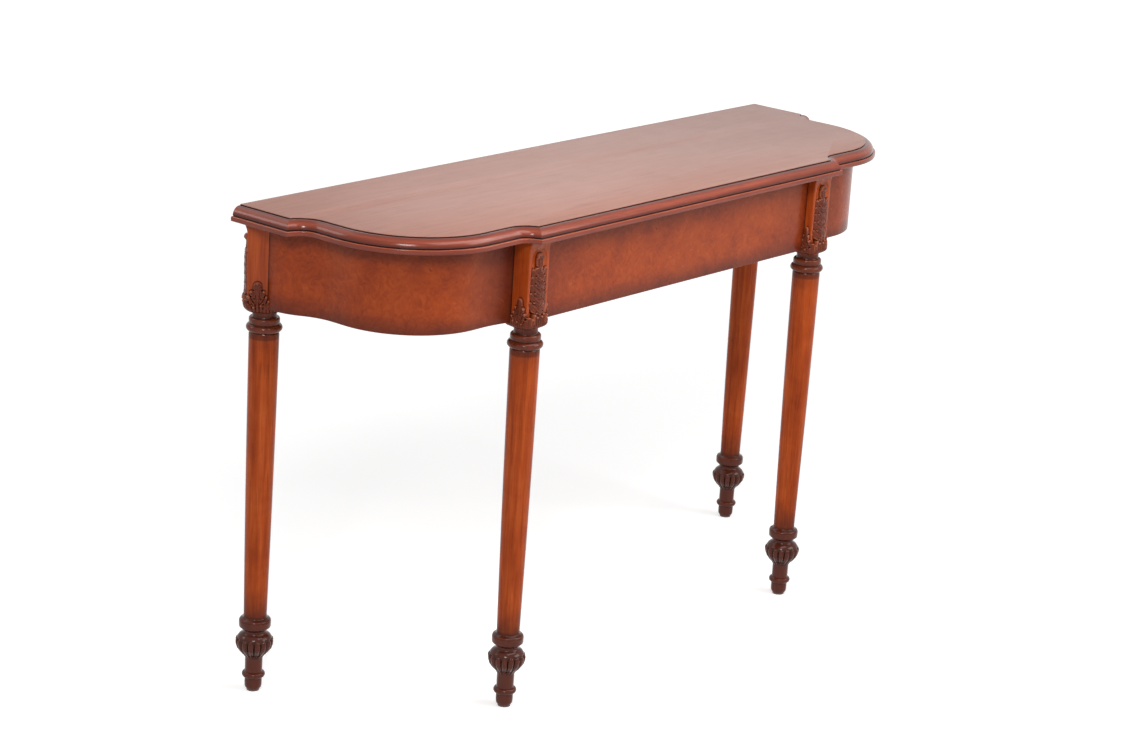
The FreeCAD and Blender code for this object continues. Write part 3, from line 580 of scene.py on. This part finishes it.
# the side apron's line: straight, an ogee in two arcs, a bow, and a flare to the front post
APRON_END, APRON_FLANK, OGEE_R, OGEE_Y = 626.4, 598.0, 98.0, 82.0
OGEE_X = (APRON_END + APRON_FLANK) / 2
OGEE_HALF = half_chord(OGEE_R, (APRON_END - APRON_FLANK) / 2)
OGEE_TOP, OGEE_LOW = OGEE_Y + OGEE_HALF, OGEE_Y - OGEE_HALF
SIDE_REAR_Y, SIDE_FRONT_Y = 146.0, -128.6
BOW_AT = (-464.2, 5.2)
FLARE_X, FLARE_END_X, FLARE_R = 445.0, 366.0, 230.0
FLARE_AT = (-FLARE_X, SIDE_FRONT_Y - FLARE_R)
FLARE_END = (-FLARE_END_X, FLARE_AT[1] + math.sqrt(FLARE_R ** 2 - (FLARE_X - FLARE_END_X) ** 2))
side_line = join(
    straight((-APRON_END, SIDE_REAR_Y), (-APRON_END, OGEE_TOP), (-1, 0), 2.0),
    arc((OGEE_R - APRON_END, OGEE_TOP), (-APRON_END, OGEE_TOP), (-OGEE_X, OGEE_Y), 1),
    arc((-APRON_FLANK - OGEE_R, OGEE_LOW), (-OGEE_X, OGEE_Y), (-APRON_FLANK, OGEE_LOW), -1),
    straight((-APRON_FLANK, OGEE_LOW), (-APRON_FLANK, BOW_AT[1]), (-1, 0)),
    arc(BOW_AT, (-APRON_FLANK, BOW_AT[1]), (BOW_AT[0], SIDE_FRONT_Y), 1),
    straight((BOW_AT[0], SIDE_FRONT_Y), (-FLARE_X, SIDE_FRONT_Y), (0, -1)),
    arc(FLARE_AT, (-FLARE_X, SIDE_FRONT_Y), FLARE_END, -1, 1.5),
)
APRON_FRONT_X, APRON_FRONT_Y = 343.0, -152.0
apron_front_line = straight((-APRON_FRONT_X, APRON_FRONT_Y), (APRON_FRONT_X, APRON_FRONT_Y),
                            (0, -1), 1.5)
SEAM_WIDE = 2.2


def apron(name, line, node, flip, hidden, reaches, depths):
    """A veneered apron, with bare wood behind.

    At its first and its last end, hidden is the length inside a post, reaches is how far the
    darker tone goes, stain with painted shade by the post, and depths is how dark it is there.
    """
    rows, columns = len(line[0]), len(APRON_SECTION)
    along = lengths_along(line[0])
    nears = (along - hidden[0], along[-1] - hidden[1] - along)
    ends = np.maximum(*(np.clip(1 - far / reach, 0, 1) ** 1.5 * deep
                        for far, reach, deep in zip(nears, reaches, depths)))
    seam_shadow = np.exp(-(np.clip(np.minimum(*nears), 0, None) / SEAM_WIDE) ** 2)
    bare = 3
    slots = ([0] * (columns - bare) + [1] * bare) * (rows - 1) + [1, 1]
    sweep(name, line, APRON_SECTION, "apron_veneer", [APRON_WOOD, RAW_WOOD], flip=flip,
          attributes={"ends": np.repeat(ends, columns), "seam_shadow": np.repeat(seam_shadow, columns)},
          face_slots=slots, replaces=[node])


for side, flip in (("left", False), ("right", True)):
    apron("apron_" + side, side_line, side + "_apron", flip,
          hidden=(6.3, 22.0), reaches=(30.0, 150.0), depths=(0.5, 1.0))
apron("apron_front", apron_front_line, "front_apron", False,
      hidden=(2.0, 2.0), reaches=(110.0, 110.0), depths=(0.6, 0.6))


# ---------------------------------------------------------------- carved posts

# Leaves are heights over a face: across runs sideways from its middle, up from the post's foot.
RIB_PITCH = 4.9
RIB_LOW = -4.0
PIT_FLOOR = -0.4
VEIN_WIDE, VEIN_DEEP = 0.7, 1.2
LONG_TIPS = (45.0, 59.5, 72.5, 84.5, 96.0)
STEM_TOP = 100.0
TONGUE_AT, TONGUE_HALF, TONGUE_TALL = 107.5, 7.0, 11.5
SCOOP_DEEP, SCOOP_HALF, SCOOP_Z, SCOOP_RISE = 2.4, 17.8, 104.0, 24.0


def bezier(start, bend, stop, count=26):
    t = np.linspace(0, 1, count)[:, None]
    start, bend, stop = (np.array(p, float) for p in (start, bend, stop))
    return start * (1 - t) ** 2 + bend * 2 * t * (1 - t) + stop * t ** 2


def blade(across, up, curve, wide, high, veins=1, curl=0.0):
    """Height of a rounded leaf lobe along a curve. wide, high: at root, middle and tip."""
    best = np.full(across.shape, 1e9)
    share = np.zeros(across.shape)
    lateral = np.zeros(across.shape)
    ways = np.gradient(curve, axis=0)
    ways /= np.linalg.norm(ways, axis=1)[:, None]
    for i, ((x, y), way) in enumerate(zip(curve, ways)):
        dx, dy = across - x, up - y
        gap = dx * dx + dy * dy
        near = gap < best
        best[near] = gap[near]
        share[near] = i / (len(curve) - 1)
        lateral[near] = (dx * way[1] - dy * way[0])[near]
    width = np.interp(share, (0, 0.5, 1), wide)
    height = np.interp(share, (0, 0.5, 1), high)
    inside = np.clip(1 - best / (width * width), 0, None)
    rise = height * np.sqrt(inside)
    if curl:
        x, y = curve[-1]
        bead = np.clip(1 - ((across - x) ** 2 + (up - y) ** 2) / (wide[2] * 0.95) ** 2, 0, None)
        rise = rise + curl * np.sqrt(bead)
    for k in range(veins):
        at = (k - (veins - 1) / 2) * width * (0.9 if veins > 1 else 0)
        cut = np.exp(-((lateral - at) / VEIN_WIDE) ** 2) * np.clip(1.15 - share, 0, 1)
        rise = rise - cut * np.minimum(rise, VEIN_DEEP)
    return rise


def pit(across, up, x, y, radius, deep):
    """Depth of a round hollow."""
    away = ((across - x) ** 2 + (up - y) ** 2) / (radius * radius)
    return deep * np.exp(-away * away)


def thicken(rise, body):
    """Lifts a leaf off its ground by the thickness of its body."""
    return rise + body * (1 - np.exp(-rise / 0.7))


def tuck(rise, up, low, high):
    """Rounds a leaf in from high down to low, under its own lower ends."""
    share = np.clip((high - up) / (high - low), 0, 1)
    return rise * np.sqrt(1 - share ** 2)


def fringe(across, up, rise, top, drop):
    """Upright ribs side by side round the foot, every second one ending lower by drop."""
    for k in range(-4, 5):
        x = k * RIB_PITCH
        end = top - drop * (k % 2) - 0.012 * x * x
        curve = bezier((x, RIB_LOW), (x, 8), (x * 1.02, end))
        rib = blade(across, up, curve, (2.3, 2.45, 2.2), (2.2, 2.6, 2.4), veins=0,
                    curl=1.3 * (k % 2))
        rise = np.maximum(rise, rib)
    return rise


def long_body(across, up, lobes):
    """Thickness of the long leaf's body under its lobes: full in the middle, wide at the foot."""
    inner = np.clip(1 - (across / 9.5) ** 4, 0, 1) * np.clip((98 - up) / 3, 0, 1)
    body = np.interp(up, (0, 30, 40, 50, 97, 101), (5.4, 5.4, 5.0, 4.4, 3.8, 0.0))
    crown = np.clip(1 - np.sqrt((across / 17.5) ** 2 + 0.004), 0, 1)
    wide = np.interp(up, (24, 34), (1.0, 0.0))
    crown = crown * (1 - wide) + np.clip(1 - (across / 24.0) ** 4, 0, 1) * wide
    cover = 1 - np.exp(-np.maximum(lobes, inner) / 0.35)
    return body * crown * cover


def tongue(across, up):
    """The folded tongue that crowns the long leaf."""
    thick = np.interp(up, (98, 103, 109, 113, 118, 120), (3.4, 2.4, 2.4, 6.2, 6.2, 5.0))
    inside = 1 - (across / TONGUE_HALF) ** 4 - ((up - TONGUE_AT) / TONGUE_TALL) ** 4
    fold = np.exp(-((np.abs(across) - 3.4) / 0.8) ** 2) * np.clip((114 - up) / 3, 0, 1)
    return thick * np.clip(inside, 0, None) ** 0.4 - 0.9 * fold


def tall_leaf(across, up, foot):
    """Relief of the long acanthus leaf on the show face of a post. foot: ends of its rounding."""
    lobes = np.zeros(across.shape)
    for side in (-1, 1):
        for k, tip in enumerate(LONG_TIPS):
            reach = 16.4 - 0.5 * k
            curve = bezier((1.2 * side, tip - 18), (reach * 0.70 * side, tip - 13),
                           (reach * side, tip - 2.6))
            lobes = np.maximum(lobes, blade(across, up, curve, (3.0, 5.6, 3.0), (1.2, 2.3, 1.2),
                                            curl=1.2))
    lobes = fringe(across, up, lobes, 25.0, 4.0)
    stem = blade(across, up, bezier((0, 26), (0, 60), (0, STEM_TOP)), (1.6, 1.5, 1.4),
                 (0.9, 0.9, 0.9), veins=0)
    rise = long_body(across, up, lobes) + np.maximum(lobes, stem)
    rise = np.maximum(rise, tongue(across, up))
    for side in (-1, 1):
        for k, tip in enumerate(LONG_TIPS):
            rise = rise - pit(across, up, (10.8 - 0.5 * k) * side, tip + 0.6, 1.5, 3.0)
            rise = rise - pit(across, up, (4.6 - 0.2 * k) * side, tip - 8.0, 0.9, 1.5)
        for x, y, deep in ((7.4, 28.5, 3.4), (14.8, 26.5, 3.0), (5.4, 98.0, 2.4)):
            rise = rise - pit(across, up, x * side, y, 1.5, deep)
    # the field round the leaf is scooped out and ends in an arch
    reach = (across / SCOOP_HALF) ** 2 + (np.clip(up - SCOOP_Z, 0, None) / SCOOP_RISE) ** 2
    scoop = SCOOP_DEEP * np.sqrt(np.clip(1 - reach, 0, None)) * np.clip(1 - rise / 0.8, 0, 1)
    return tuck(np.maximum(rise, PIT_FLOOR) - scoop, up, *foot)


# one side of the short leaf: start, bend, tip and widths of a lobe; place and depth of a pit
SHORT_LOBES = (((2.6, 19), (7.2, 26), (8.8, 34.5), (2.6, 3.4, 2.6)),
               ((4.6, 11), (9.6, 17), (12.4, 26.5), (2.6, 3.2, 2.5)),
               ((9.0, 6), (13.8, 10), (16.2, 20.0), (2.4, 2.9, 2.3)))
SHORT_PITS = ((6.0, 37.5, 2.6), (9.6, 27.5, 2.8), (4.4, 24.5, 2.2),
              (13.4, 19.5, 2.4), (8.4, 16.0, 2.2))


def small_leaf(across, up, middle, spread, foot):
    """Relief of the short leaf low on a side face, round an upright line at middle."""
    x = (across - middle) / spread
    rise = blade(x, up, bezier((0, 18), (0, 34), (0, 44.4)), (4.6, 7.2, 6.0), (2.2, 3.0, 2.8),
                 veins=2, curl=0.9)
    for side in (-1, 1):
        for start, bend, tip, wide in SHORT_LOBES:
            curve = bezier(*((side * a, b) for a, b in (start, bend, tip)))
            rise = np.maximum(rise, blade(x, up, curve, wide, (2.0, 2.8, 2.6), curl=1.2))
    rise = np.maximum(rise, fringe(across, up, np.zeros(across.shape), 17.0, 3.0))
    rise = thicken(rise, 2.2 * np.clip(1 - (x / 21.0) ** 2, 0, 1))
    for side in (-1, 1):
        for at, y, deep in SHORT_PITS:
            rise = rise - pit(x, up, at * side, y, 1.35, deep)
    return tuck(np.maximum(rise, PIT_FLOOR), up, *foot)


HOLLOW_Z, HOLLOW_TALL, HOLLOW_DEEP = 118.0, 18.0, 4.0


def face_cut(z):
    """How far the show face lies back: flat, with a hollow that ends it under the top."""
    radius = (HOLLOW_TALL ** 2 + HOLLOW_DEEP ** 2) / (2 * HOLLOW_DEEP)
    away = np.clip(z - HOLLOW_Z, 0, None)
    back = radius - np.sqrt(np.clip(radius ** 2 - away ** 2, 0, None))
    return np.clip(HOLLOW_DEEP - back, 0, None)


def soften(field, times):
    for _ in range(times):
        for axis in (0, 1):
            ahead = np.roll(field, 1, axis)
            behind = np.roll(field, -1, axis)
            field = (ahead + field * 2 + behind) / 4
    return field


EDGE_ROUND = 1.6
FLAT = HALF_POST - EDGE_ROUND
FINE = np.linspace(-FLAT, FLAT, 116)
COARSE = np.linspace(-FLAT, FLAT, 6)
LEVEL_STEP = 0.55
LEAVES_TOP = 122.0
CORNER_SHARES = np.array([0.25, 0.5, 0.75])
REAR_LEAN = 2.4


def post_levels(round_h):
    """Heights of a post's rings: closest together where the leaves are."""
    rounded = round_h * (1 - np.cos(np.radians(np.linspace(8, 90, 14))))
    leaves = np.arange(round_h + LEVEL_STEP, LEAVES_TOP, LEVEL_STEP)
    return np.concatenate([[0.0], rounded, leaves, np.linspace(LEAVES_TOP + 0.5, POST_H, 16)])


def post_rings(levels, buds, foot):
    """A square post's rings: x, y, relief, and the x and y of the way the relief stands out."""
    faces = []
    for face in range(4):
        across, up = np.meshgrid(FINE if face == 0 or face in buds else COARSE, levels)
        if face == 0:
            relief = tall_leaf(across, up, foot)
        elif face in buds:
            relief = small_leaf(across, up, *buds[face], foot)
        else:
            relief = np.zeros(across.shape)
        faces.append((across, relief))
    parts = []
    for face, (across, relief) in enumerate(faces):
        next_relief = faces[(face + 1) % 4][1]
        angle = math.radians(-90 + 90 * face)
        normal = np.array([math.cos(angle), math.sin(angle)])
        side = np.array([-normal[1], normal[0]])
        flat = np.empty(relief.shape + (5,))
        flat[..., :2] = across[..., None] * side + HALF_POST * normal
        flat[..., 2] = relief
        flat[..., 3:] = normal
        ways = np.array([normal * math.cos(t) + side * math.sin(t)
                         for t in np.radians(90 * CORNER_SHARES)])
        rounded = np.empty((len(levels), len(ways), 5))
        rounded[..., :2] = FLAT * (side + normal) + ways * EDGE_ROUND
        rounded[..., 2] = (relief[:, -1:] * (1 - CORNER_SHARES)
                           + next_relief[:, :1] * CORNER_SHARES)
        rounded[..., 3:] = ways
        parts += [flat, rounded]
    return np.moveaxis(np.concatenate(parts, axis=1), -1, 0)


def carving_marks(relief):
    """For the stain and painted light: where the carving is hollow (stain and painted shade),
    where it covers the post, and its crests (painted highlight).
    """
    smooth = soften(relief, 6)
    covered = np.clip(soften((relief > 0.25).astype(float), 2), 0, 1)
    return {"recess_stain_and_shade": np.clip((smooth - relief) * 1.6, 0, 1),
            "relief": covered,
            "crest_highlight": np.clip((relief - smooth) * 2.2 - 0.7, 0, 1) * covered}


def carved_post(name, node, place, turn, buds, flip, round_h, foot, more=0.0):
    """A post as rings of points, deeper by more in front of the leg's axis.

    buds: face number to (middle, spread) of its short leaf. round_h: height over which the
    block is worked round to the neck. foot: heights between which the leaves round in.
    """
    levels = post_levels(round_h)
    x, y, relief, way_x, way_y = post_rings(levels, buds, foot)
    # a rear post's show face leans out a little from its foot up
    lean = np.interp(levels, (15, 70), (0.0, REAR_LEAN)) if more else 0.0
    depth = HALF_POST + more + lean - face_cut(levels)
    deep_y = y * np.where(y < 0, depth[:, None] / HALF_POST, 1.0)
    # the foot is worked round, down to the turned neck below it
    rounding = np.clip(round_h - levels, 0, None) / round_h
    drawn = 1 - np.sqrt(np.clip(1 - rounding ** 2, 0, None))
    size = 1 - drawn[:, None] * np.clip(1 - NECK_R / np.hypot(x, deep_y), 0, None)
    out_x = x * size + way_x * relief
    out_y = deep_y * size + way_y * relief
    angle = math.radians(turn)
    world_x = place[0] + out_x * math.cos(angle) - out_y * math.sin(angle)
    world_y = place[1] + out_x * math.sin(angle) + out_y * math.cos(angle)
    world_z = np.repeat(levels[:, None], out_x.shape[1], 1) + POST_LOW
    points = np.stack([world_x, np.minimum(world_y, BACK_Y), world_z], -1)
    rows, columns = out_x.shape
    faces = grid_faces(rows, columns)[0] + end_caps(rows, columns)
    if flip:
        points = mirrored(points)
        faces = [f[::-1] for f in faces]
    make_piece(name, points.reshape(-1, 3), faces, "carved_wood", [POST_WOOD],
               attributes=carving_marks(relief), sharp=60.0, replaces=[node])


for side, flip in (("left", False), ("right", True)):
    carved_post("carved_post_front_" + side, "post_front_" + side, FRONT_POST, 0.0,
                {3: (8.0, 1.0), 1: (-14.0, 0.62)}, flip, 8.0, (2.0, 9.0))
    carved_post("carved_post_rear_" + side, "post_rear_" + side, REAR_POST, REAR_TURN,
                {1: (-9.7, 0.92)}, flip, 12.0, (-1.5, 20.0), REAR_MORE)


# ---------------------------------------------------------------- turned legs

LOBES = 16
LEG_TURNS = 160
SHAFT_START, SHAFT_TOP, SHAFT_LOW = 582.0, 580.0, 128.0
SHAFT_WIDE, SHAFT_SLIM, SHAFT_SWELL = 23.3, 18.0, 0.65
GLIDE_TOP = 3.0
GLOSSY_BELOW, GLOSSY_ABOVE = 124.0, 583.0
HOLLOW_REACH, HOLLOW_FULL, TOE_R = 3.0, 5.0, 18.4


def bead(z, radius, size, start, stop, count):
    """(height, radius) points of a round moulding about a middle, angles in degrees."""
    return [(high, out) for out, high in quarter((radius, z), size, start, stop, count)]


def upper_profile():
    """Height and radius of the turned outline, from its top down to the bulb."""
    line = [(POST_LOW, 0.0), (POST_LOW, 18.5), (609.3, 18.5), (608.5, 19.0)]
    line += bead(604.8, 20.0, 3.7, 84, 0, 8)
    line += [(598.2, 23.7), (597.6, 23.2)]
    line += bead(591.6, 21.8, 6.0, 74, -80, 15)
    line += [(585.0, 22.2), (584.0, 22.7), (582.6, 23.2)]
    for z in np.linspace(SHAFT_TOP, SHAFT_LOW, 40):
        share = (SHAFT_START - z) / (SHAFT_START - SHAFT_LOW)
        swell = SHAFT_SWELL * 4 * share * (1 - share)
        line.append((z, SHAFT_WIDE + (SHAFT_SLIM - SHAFT_WIDE) * share + swell))
    line += [(123.6, 18.3), (122.0, 19.3), (121.2, 21.6), (120.2, 23.4), (118.8, 24.4),
             (117.6, 24.6), (117.3, 24.3), (116.9, 24.9), (116.0, 25.0), (108.8, 25.0),
             (107.2, 24.5), (105.2, 22.4), (104.0, 20.4), (103.0, 18.9), (101.6, 18.4),
             (99.2, 18.4), (97.8, 19.0), (96.4, 20.6), (94.8, 22.8), (93.0, 24.6),
             (91.2, 25.9), (89.8, 26.7)]
    return line


def toe_profile():
    """Height and radius of the turned outline under the bulb, down to the glide."""
    line = [(55.4, 14.0), (53.0, 13.8), (34.4, 13.6), (33.0, 13.7), (32.2, 13.9)]
    line += bead(27.0, 13.2, 5.0, 84, -84, 13)
    line += [(21.6, 13.2), (20.6, 13.5), (12.0, 13.6), (7.2, 13.3), (6.2, 13.0), (3.6, 11.3),
             (GLIDE_TOP, 11.0), (GLIDE_TOP, 0.0)]
    return line


# the bulb: (height, radius) of its core, and (height, size) of the ribs that stand on it
CORE = ((57, 14.2), (60.2, 15.0), (65, 19.0), (72, 23.4), (79, 25.4), (84, 26.4), (89, 27.0))
RIB = ((56, 0.0), (57.5, 1.2), (60.2, 2.2), (65, 3.2), (72, 3.9), (79, 4.1), (84, 3.5),
       (87, 2.2), (89, 0.2))
RIB_HEAD, RIB_HEAD_TALL = 80.0, 8.9
RIB_TAIL, RIB_TAIL_TALL = 66.0, 10.0


def bulb_rings(theta):
    """Height, radii and hollow of the bulb's rings: egg-shaped ribs on a slimmer core, their
    hollows darkened later as glaze and painted shade.
    """
    phase = (theta * LOBES / (2 * math.pi)) % 1.0 * 2 - 1
    rings = []
    for z in np.concatenate([np.linspace(88.8, 82.0, 12), np.linspace(81.0, 62.0, 20),
                             np.linspace(61.2, 56.2, 8)]):
        core = np.interp(z, *zip(*CORE))
        high = np.interp(z, *zip(*RIB))
        head = max(0.0, (z - RIB_HEAD) / RIB_HEAD_TALL)
        tail = max(0.0, (RIB_TAIL - z) / RIB_TAIL_TALL)
        wide = 0.98 * math.sqrt(max(0.0, 1 - max(head, tail) ** 2))
        lobe = np.sqrt(np.clip(1 - (phase / max(wide, 0.02)) ** 2, 0, None))
        rings.append((z, core + high * lobe, 1 - lobe))
    return rings


def leg_mesh(name, node, x, y):
    theta = np.linspace(0, 2 * math.pi, LEG_TURNS, endpoint=False)
    plain = np.zeros(LEG_TURNS)
    rings = [(z, np.full(LEG_TURNS, r), plain) for z, r in upper_profile()]
    rings += bulb_rings(theta)
    rings += [(z, np.full(LEG_TURNS, r), plain) for z, r in toe_profile()]
    points = np.array([np.stack([x + r * np.cos(theta), y + r * np.sin(theta),
                                 np.full(LEG_TURNS, z)], 1) for z, r, _ in rings])
    # glaze and painted shade in the hollows: where the leg is slimmer than just above or below,
    # though not down at the toe
    heights = np.array([z for z, _, _ in rings])
    widest = np.array([r.max() for _, r, _ in rings])
    around = np.array([widest[np.abs(heights - z) < HOLLOW_REACH].max() for z in heights])
    hollow = np.clip((around - widest) / HOLLOW_FULL, 0, 1) * (around > TOE_R)
    groove_glaze_and_shade = np.maximum(hollow[:, None], np.array([g for _, _, g in rings]))
    faces, _ = grid_faces(len(rings), LEG_TURNS)
    middle = (heights[1:] + heights[:-1]) / 2
    glossy = np.repeat((middle < GLOSSY_BELOW) | (middle > GLOSSY_ABOVE), LEG_TURNS)
    make_piece(name, points.reshape(-1, 3), [f[::-1] for f in faces], "turned_wood",
               [LEG_WOOD, RING_WOOD], attributes={"groove_glaze_and_shade": groove_glaze_and_shade},
               face_slots=glossy.astype(int).tolist(), sharp=40.0, replaces=[node])


for side, sign in (("left", 1), ("right", -1)):
    leg_mesh("turned_leg_front_" + side, "leg_front_" + side,
             FRONT_POST[0] * sign, FRONT_POST[1])
    leg_mesh("turned_leg_rear_" + side, "leg_rear_" + side, REAR_POST[0] * sign, REAR_POST[1])


# ---------------------------------------------------------------- stage and light

# From here on lengths are in metres.
FLOOR_REACH = 30.0
FLOOR_WHITE = (0.82, 0.82, 0.82)
FLOOR_GLOW, FLOOR_GLOW_MORE, GLOW_FADE = 0.45, 0.35, (1.0, 5.0)
WORLD_LIGHT, WORLD_SEEN = 0.38, 1.0
BODY = (0, 0, 0.6)
# name, place, target, size and power in watts
LAMPS = (
    ("key", (-3.0, -1.87, 2.65), BODY, (0.9, 0.9), 56),
    ("fill", (1.7, -3.0, 2.45), BODY, (2.4, 1.5), 62),
    ("front_top", (-0.15, -0.62, 1.45), (-0.15, -0.05, 0.78), (1.2, 0.4), 6.5),
    ("back", (-0.6, 2.0, 2.9), (0, 0, 0.7), (2.0, 1.0), 5),
    ("back_left", (-2.3, 2.2, 2.2), (-0.3, 0, 0.7), (1.0, 1.0), 12),
    ("low_back", (1.51, 1.55, 1.89), (1.51, 0.0, 0.78), (1.54, 0.16), 2.5),
)


def seen_ray(tree):
    """1 for rays of the camera and for those that gloss or glass sends on, 0 for the others."""
    path = tree.nodes.new("ShaderNodeLightPath")
    seen = path.outputs["Is Camera Ray"]
    for kind in ("Is Glossy Ray", "Is Transmission Ray"):
        larger = tree.nodes.new("ShaderNodeMath")
        larger.operation = "MAXIMUM"
        tree.links.new(seen, larger.inputs[0])
        tree.links.new(path.outputs[kind], larger.inputs[1])
        seen = larger.outputs[0]
    return seen


def stage():
    """A plain white floor, shown brighter far from the table, that keeps the shadow."""
    mesh = bpy.data.meshes.new("floor")
    reach = FLOOR_REACH
    corners = [(-reach, -reach, 0), (reach, -reach, 0), (reach, reach, 0), (-reach, reach, 0)]
    mesh.from_pydata(corners, [], [(0, 1, 2, 3)])
    floor = bpy.data.objects.new("floor", mesh)
    bpy.context.scene.collection.objects.link(floor)
    net = Net("floor_white")
    mesh.materials.append(net.material)
    away = net.node("VectorMath", {0: net.place()}, operation="LENGTH").outputs["Value"]
    glow = net.plus(FLOOR_GLOW, net.times(net.between(away, *GLOW_FADE), FLOOR_GLOW_MORE))
    net.set(Base_Color=FLOOR_WHITE, Roughness=0.9, Specular_IOR_Level=0.0,
            Emission_Color=(1.0, 1.0, 1.0), Emission_Strength=net.times(seen_ray(net.tree), glow))


def world():
    """Even light from all round, white where it is seen."""
    made = bpy.data.worlds.new("world")
    bpy.context.scene.world = made
    made.use_nodes = True
    tree = made.node_tree
    background = tree.nodes["Background"]
    background.inputs["Color"].default_value = (1, 1, 1, 1)
    strength = tree.nodes.new("ShaderNodeMapRange")
    tree.links.new(seen_ray(tree), strength.inputs["Value"])
    strength.inputs["To Min"].default_value = WORLD_LIGHT
    strength.inputs["To Max"].default_value = WORLD_SEEN
    tree.links.new(strength.outputs[0], background.inputs["Strength"])


def lamp(name, place, target, size, power):
    data = bpy.data.lights.new(name, "AREA")
    data.shape = "RECTANGLE"
    data.size, data.size_y = size
    data.energy = power
    made = bpy.data.objects.new(name, data)
    made.location = place
    made.rotation_mode = "QUATERNION"
    made.rotation_quaternion = (Vector(target) - Vector(place)).to_track_quat("-Z", "Y")
    bpy.context.scene.collection.objects.link(made)


stage()
world()
for row in LAMPS:
    lamp(*row)


# ---------------------------------------------------------------- camera

# The camera that was fitted to the photo: its focal length in pixels of the photo's frame,
# its place, and its azimuth, elevation and roll in degrees.
FRAME_PX, LENS_PX = 1134.0, 2903.0
SENSOR_MM = 36.0
CAMERA_PLACE = Vector((-3.5790, -2.8463, 1.8231))
CAMERA_TURNS = (-50.89, 16.99, 3.63)


def photo_camera():
    azimuth, elevation, roll = (math.radians(d) for d in CAMERA_TURNS)
    back = Vector((math.sin(azimuth) * math.cos(elevation),
                   -math.cos(azimuth) * math.cos(elevation), math.sin(elevation)))
    level = Vector((math.cos(azimuth), math.sin(azimuth), 0))
    upright = back.cross(level)
    right = level * math.cos(roll) + upright * math.sin(roll)
    up = upright * math.cos(roll) - level * math.sin(roll)
    camera = bpy.data.objects.new("camera", bpy.data.cameras.new("camera"))
    camera.data.sensor_width = SENSOR_MM
    camera.data.lens = LENS_PX / FRAME_PX * SENSOR_MM
    camera.data.clip_end = 100.0
    turned = Matrix((right, up, back)).transposed().to_4x4()
    camera.matrix_world = Matrix.Translation(CAMERA_PLACE) @ turned
    bpy.context.scene.collection.objects.link(camera)
    bpy.context.scene.camera = camera


photo_camera()
bpy.context.scene.view_settings.view_transform = "Standard"
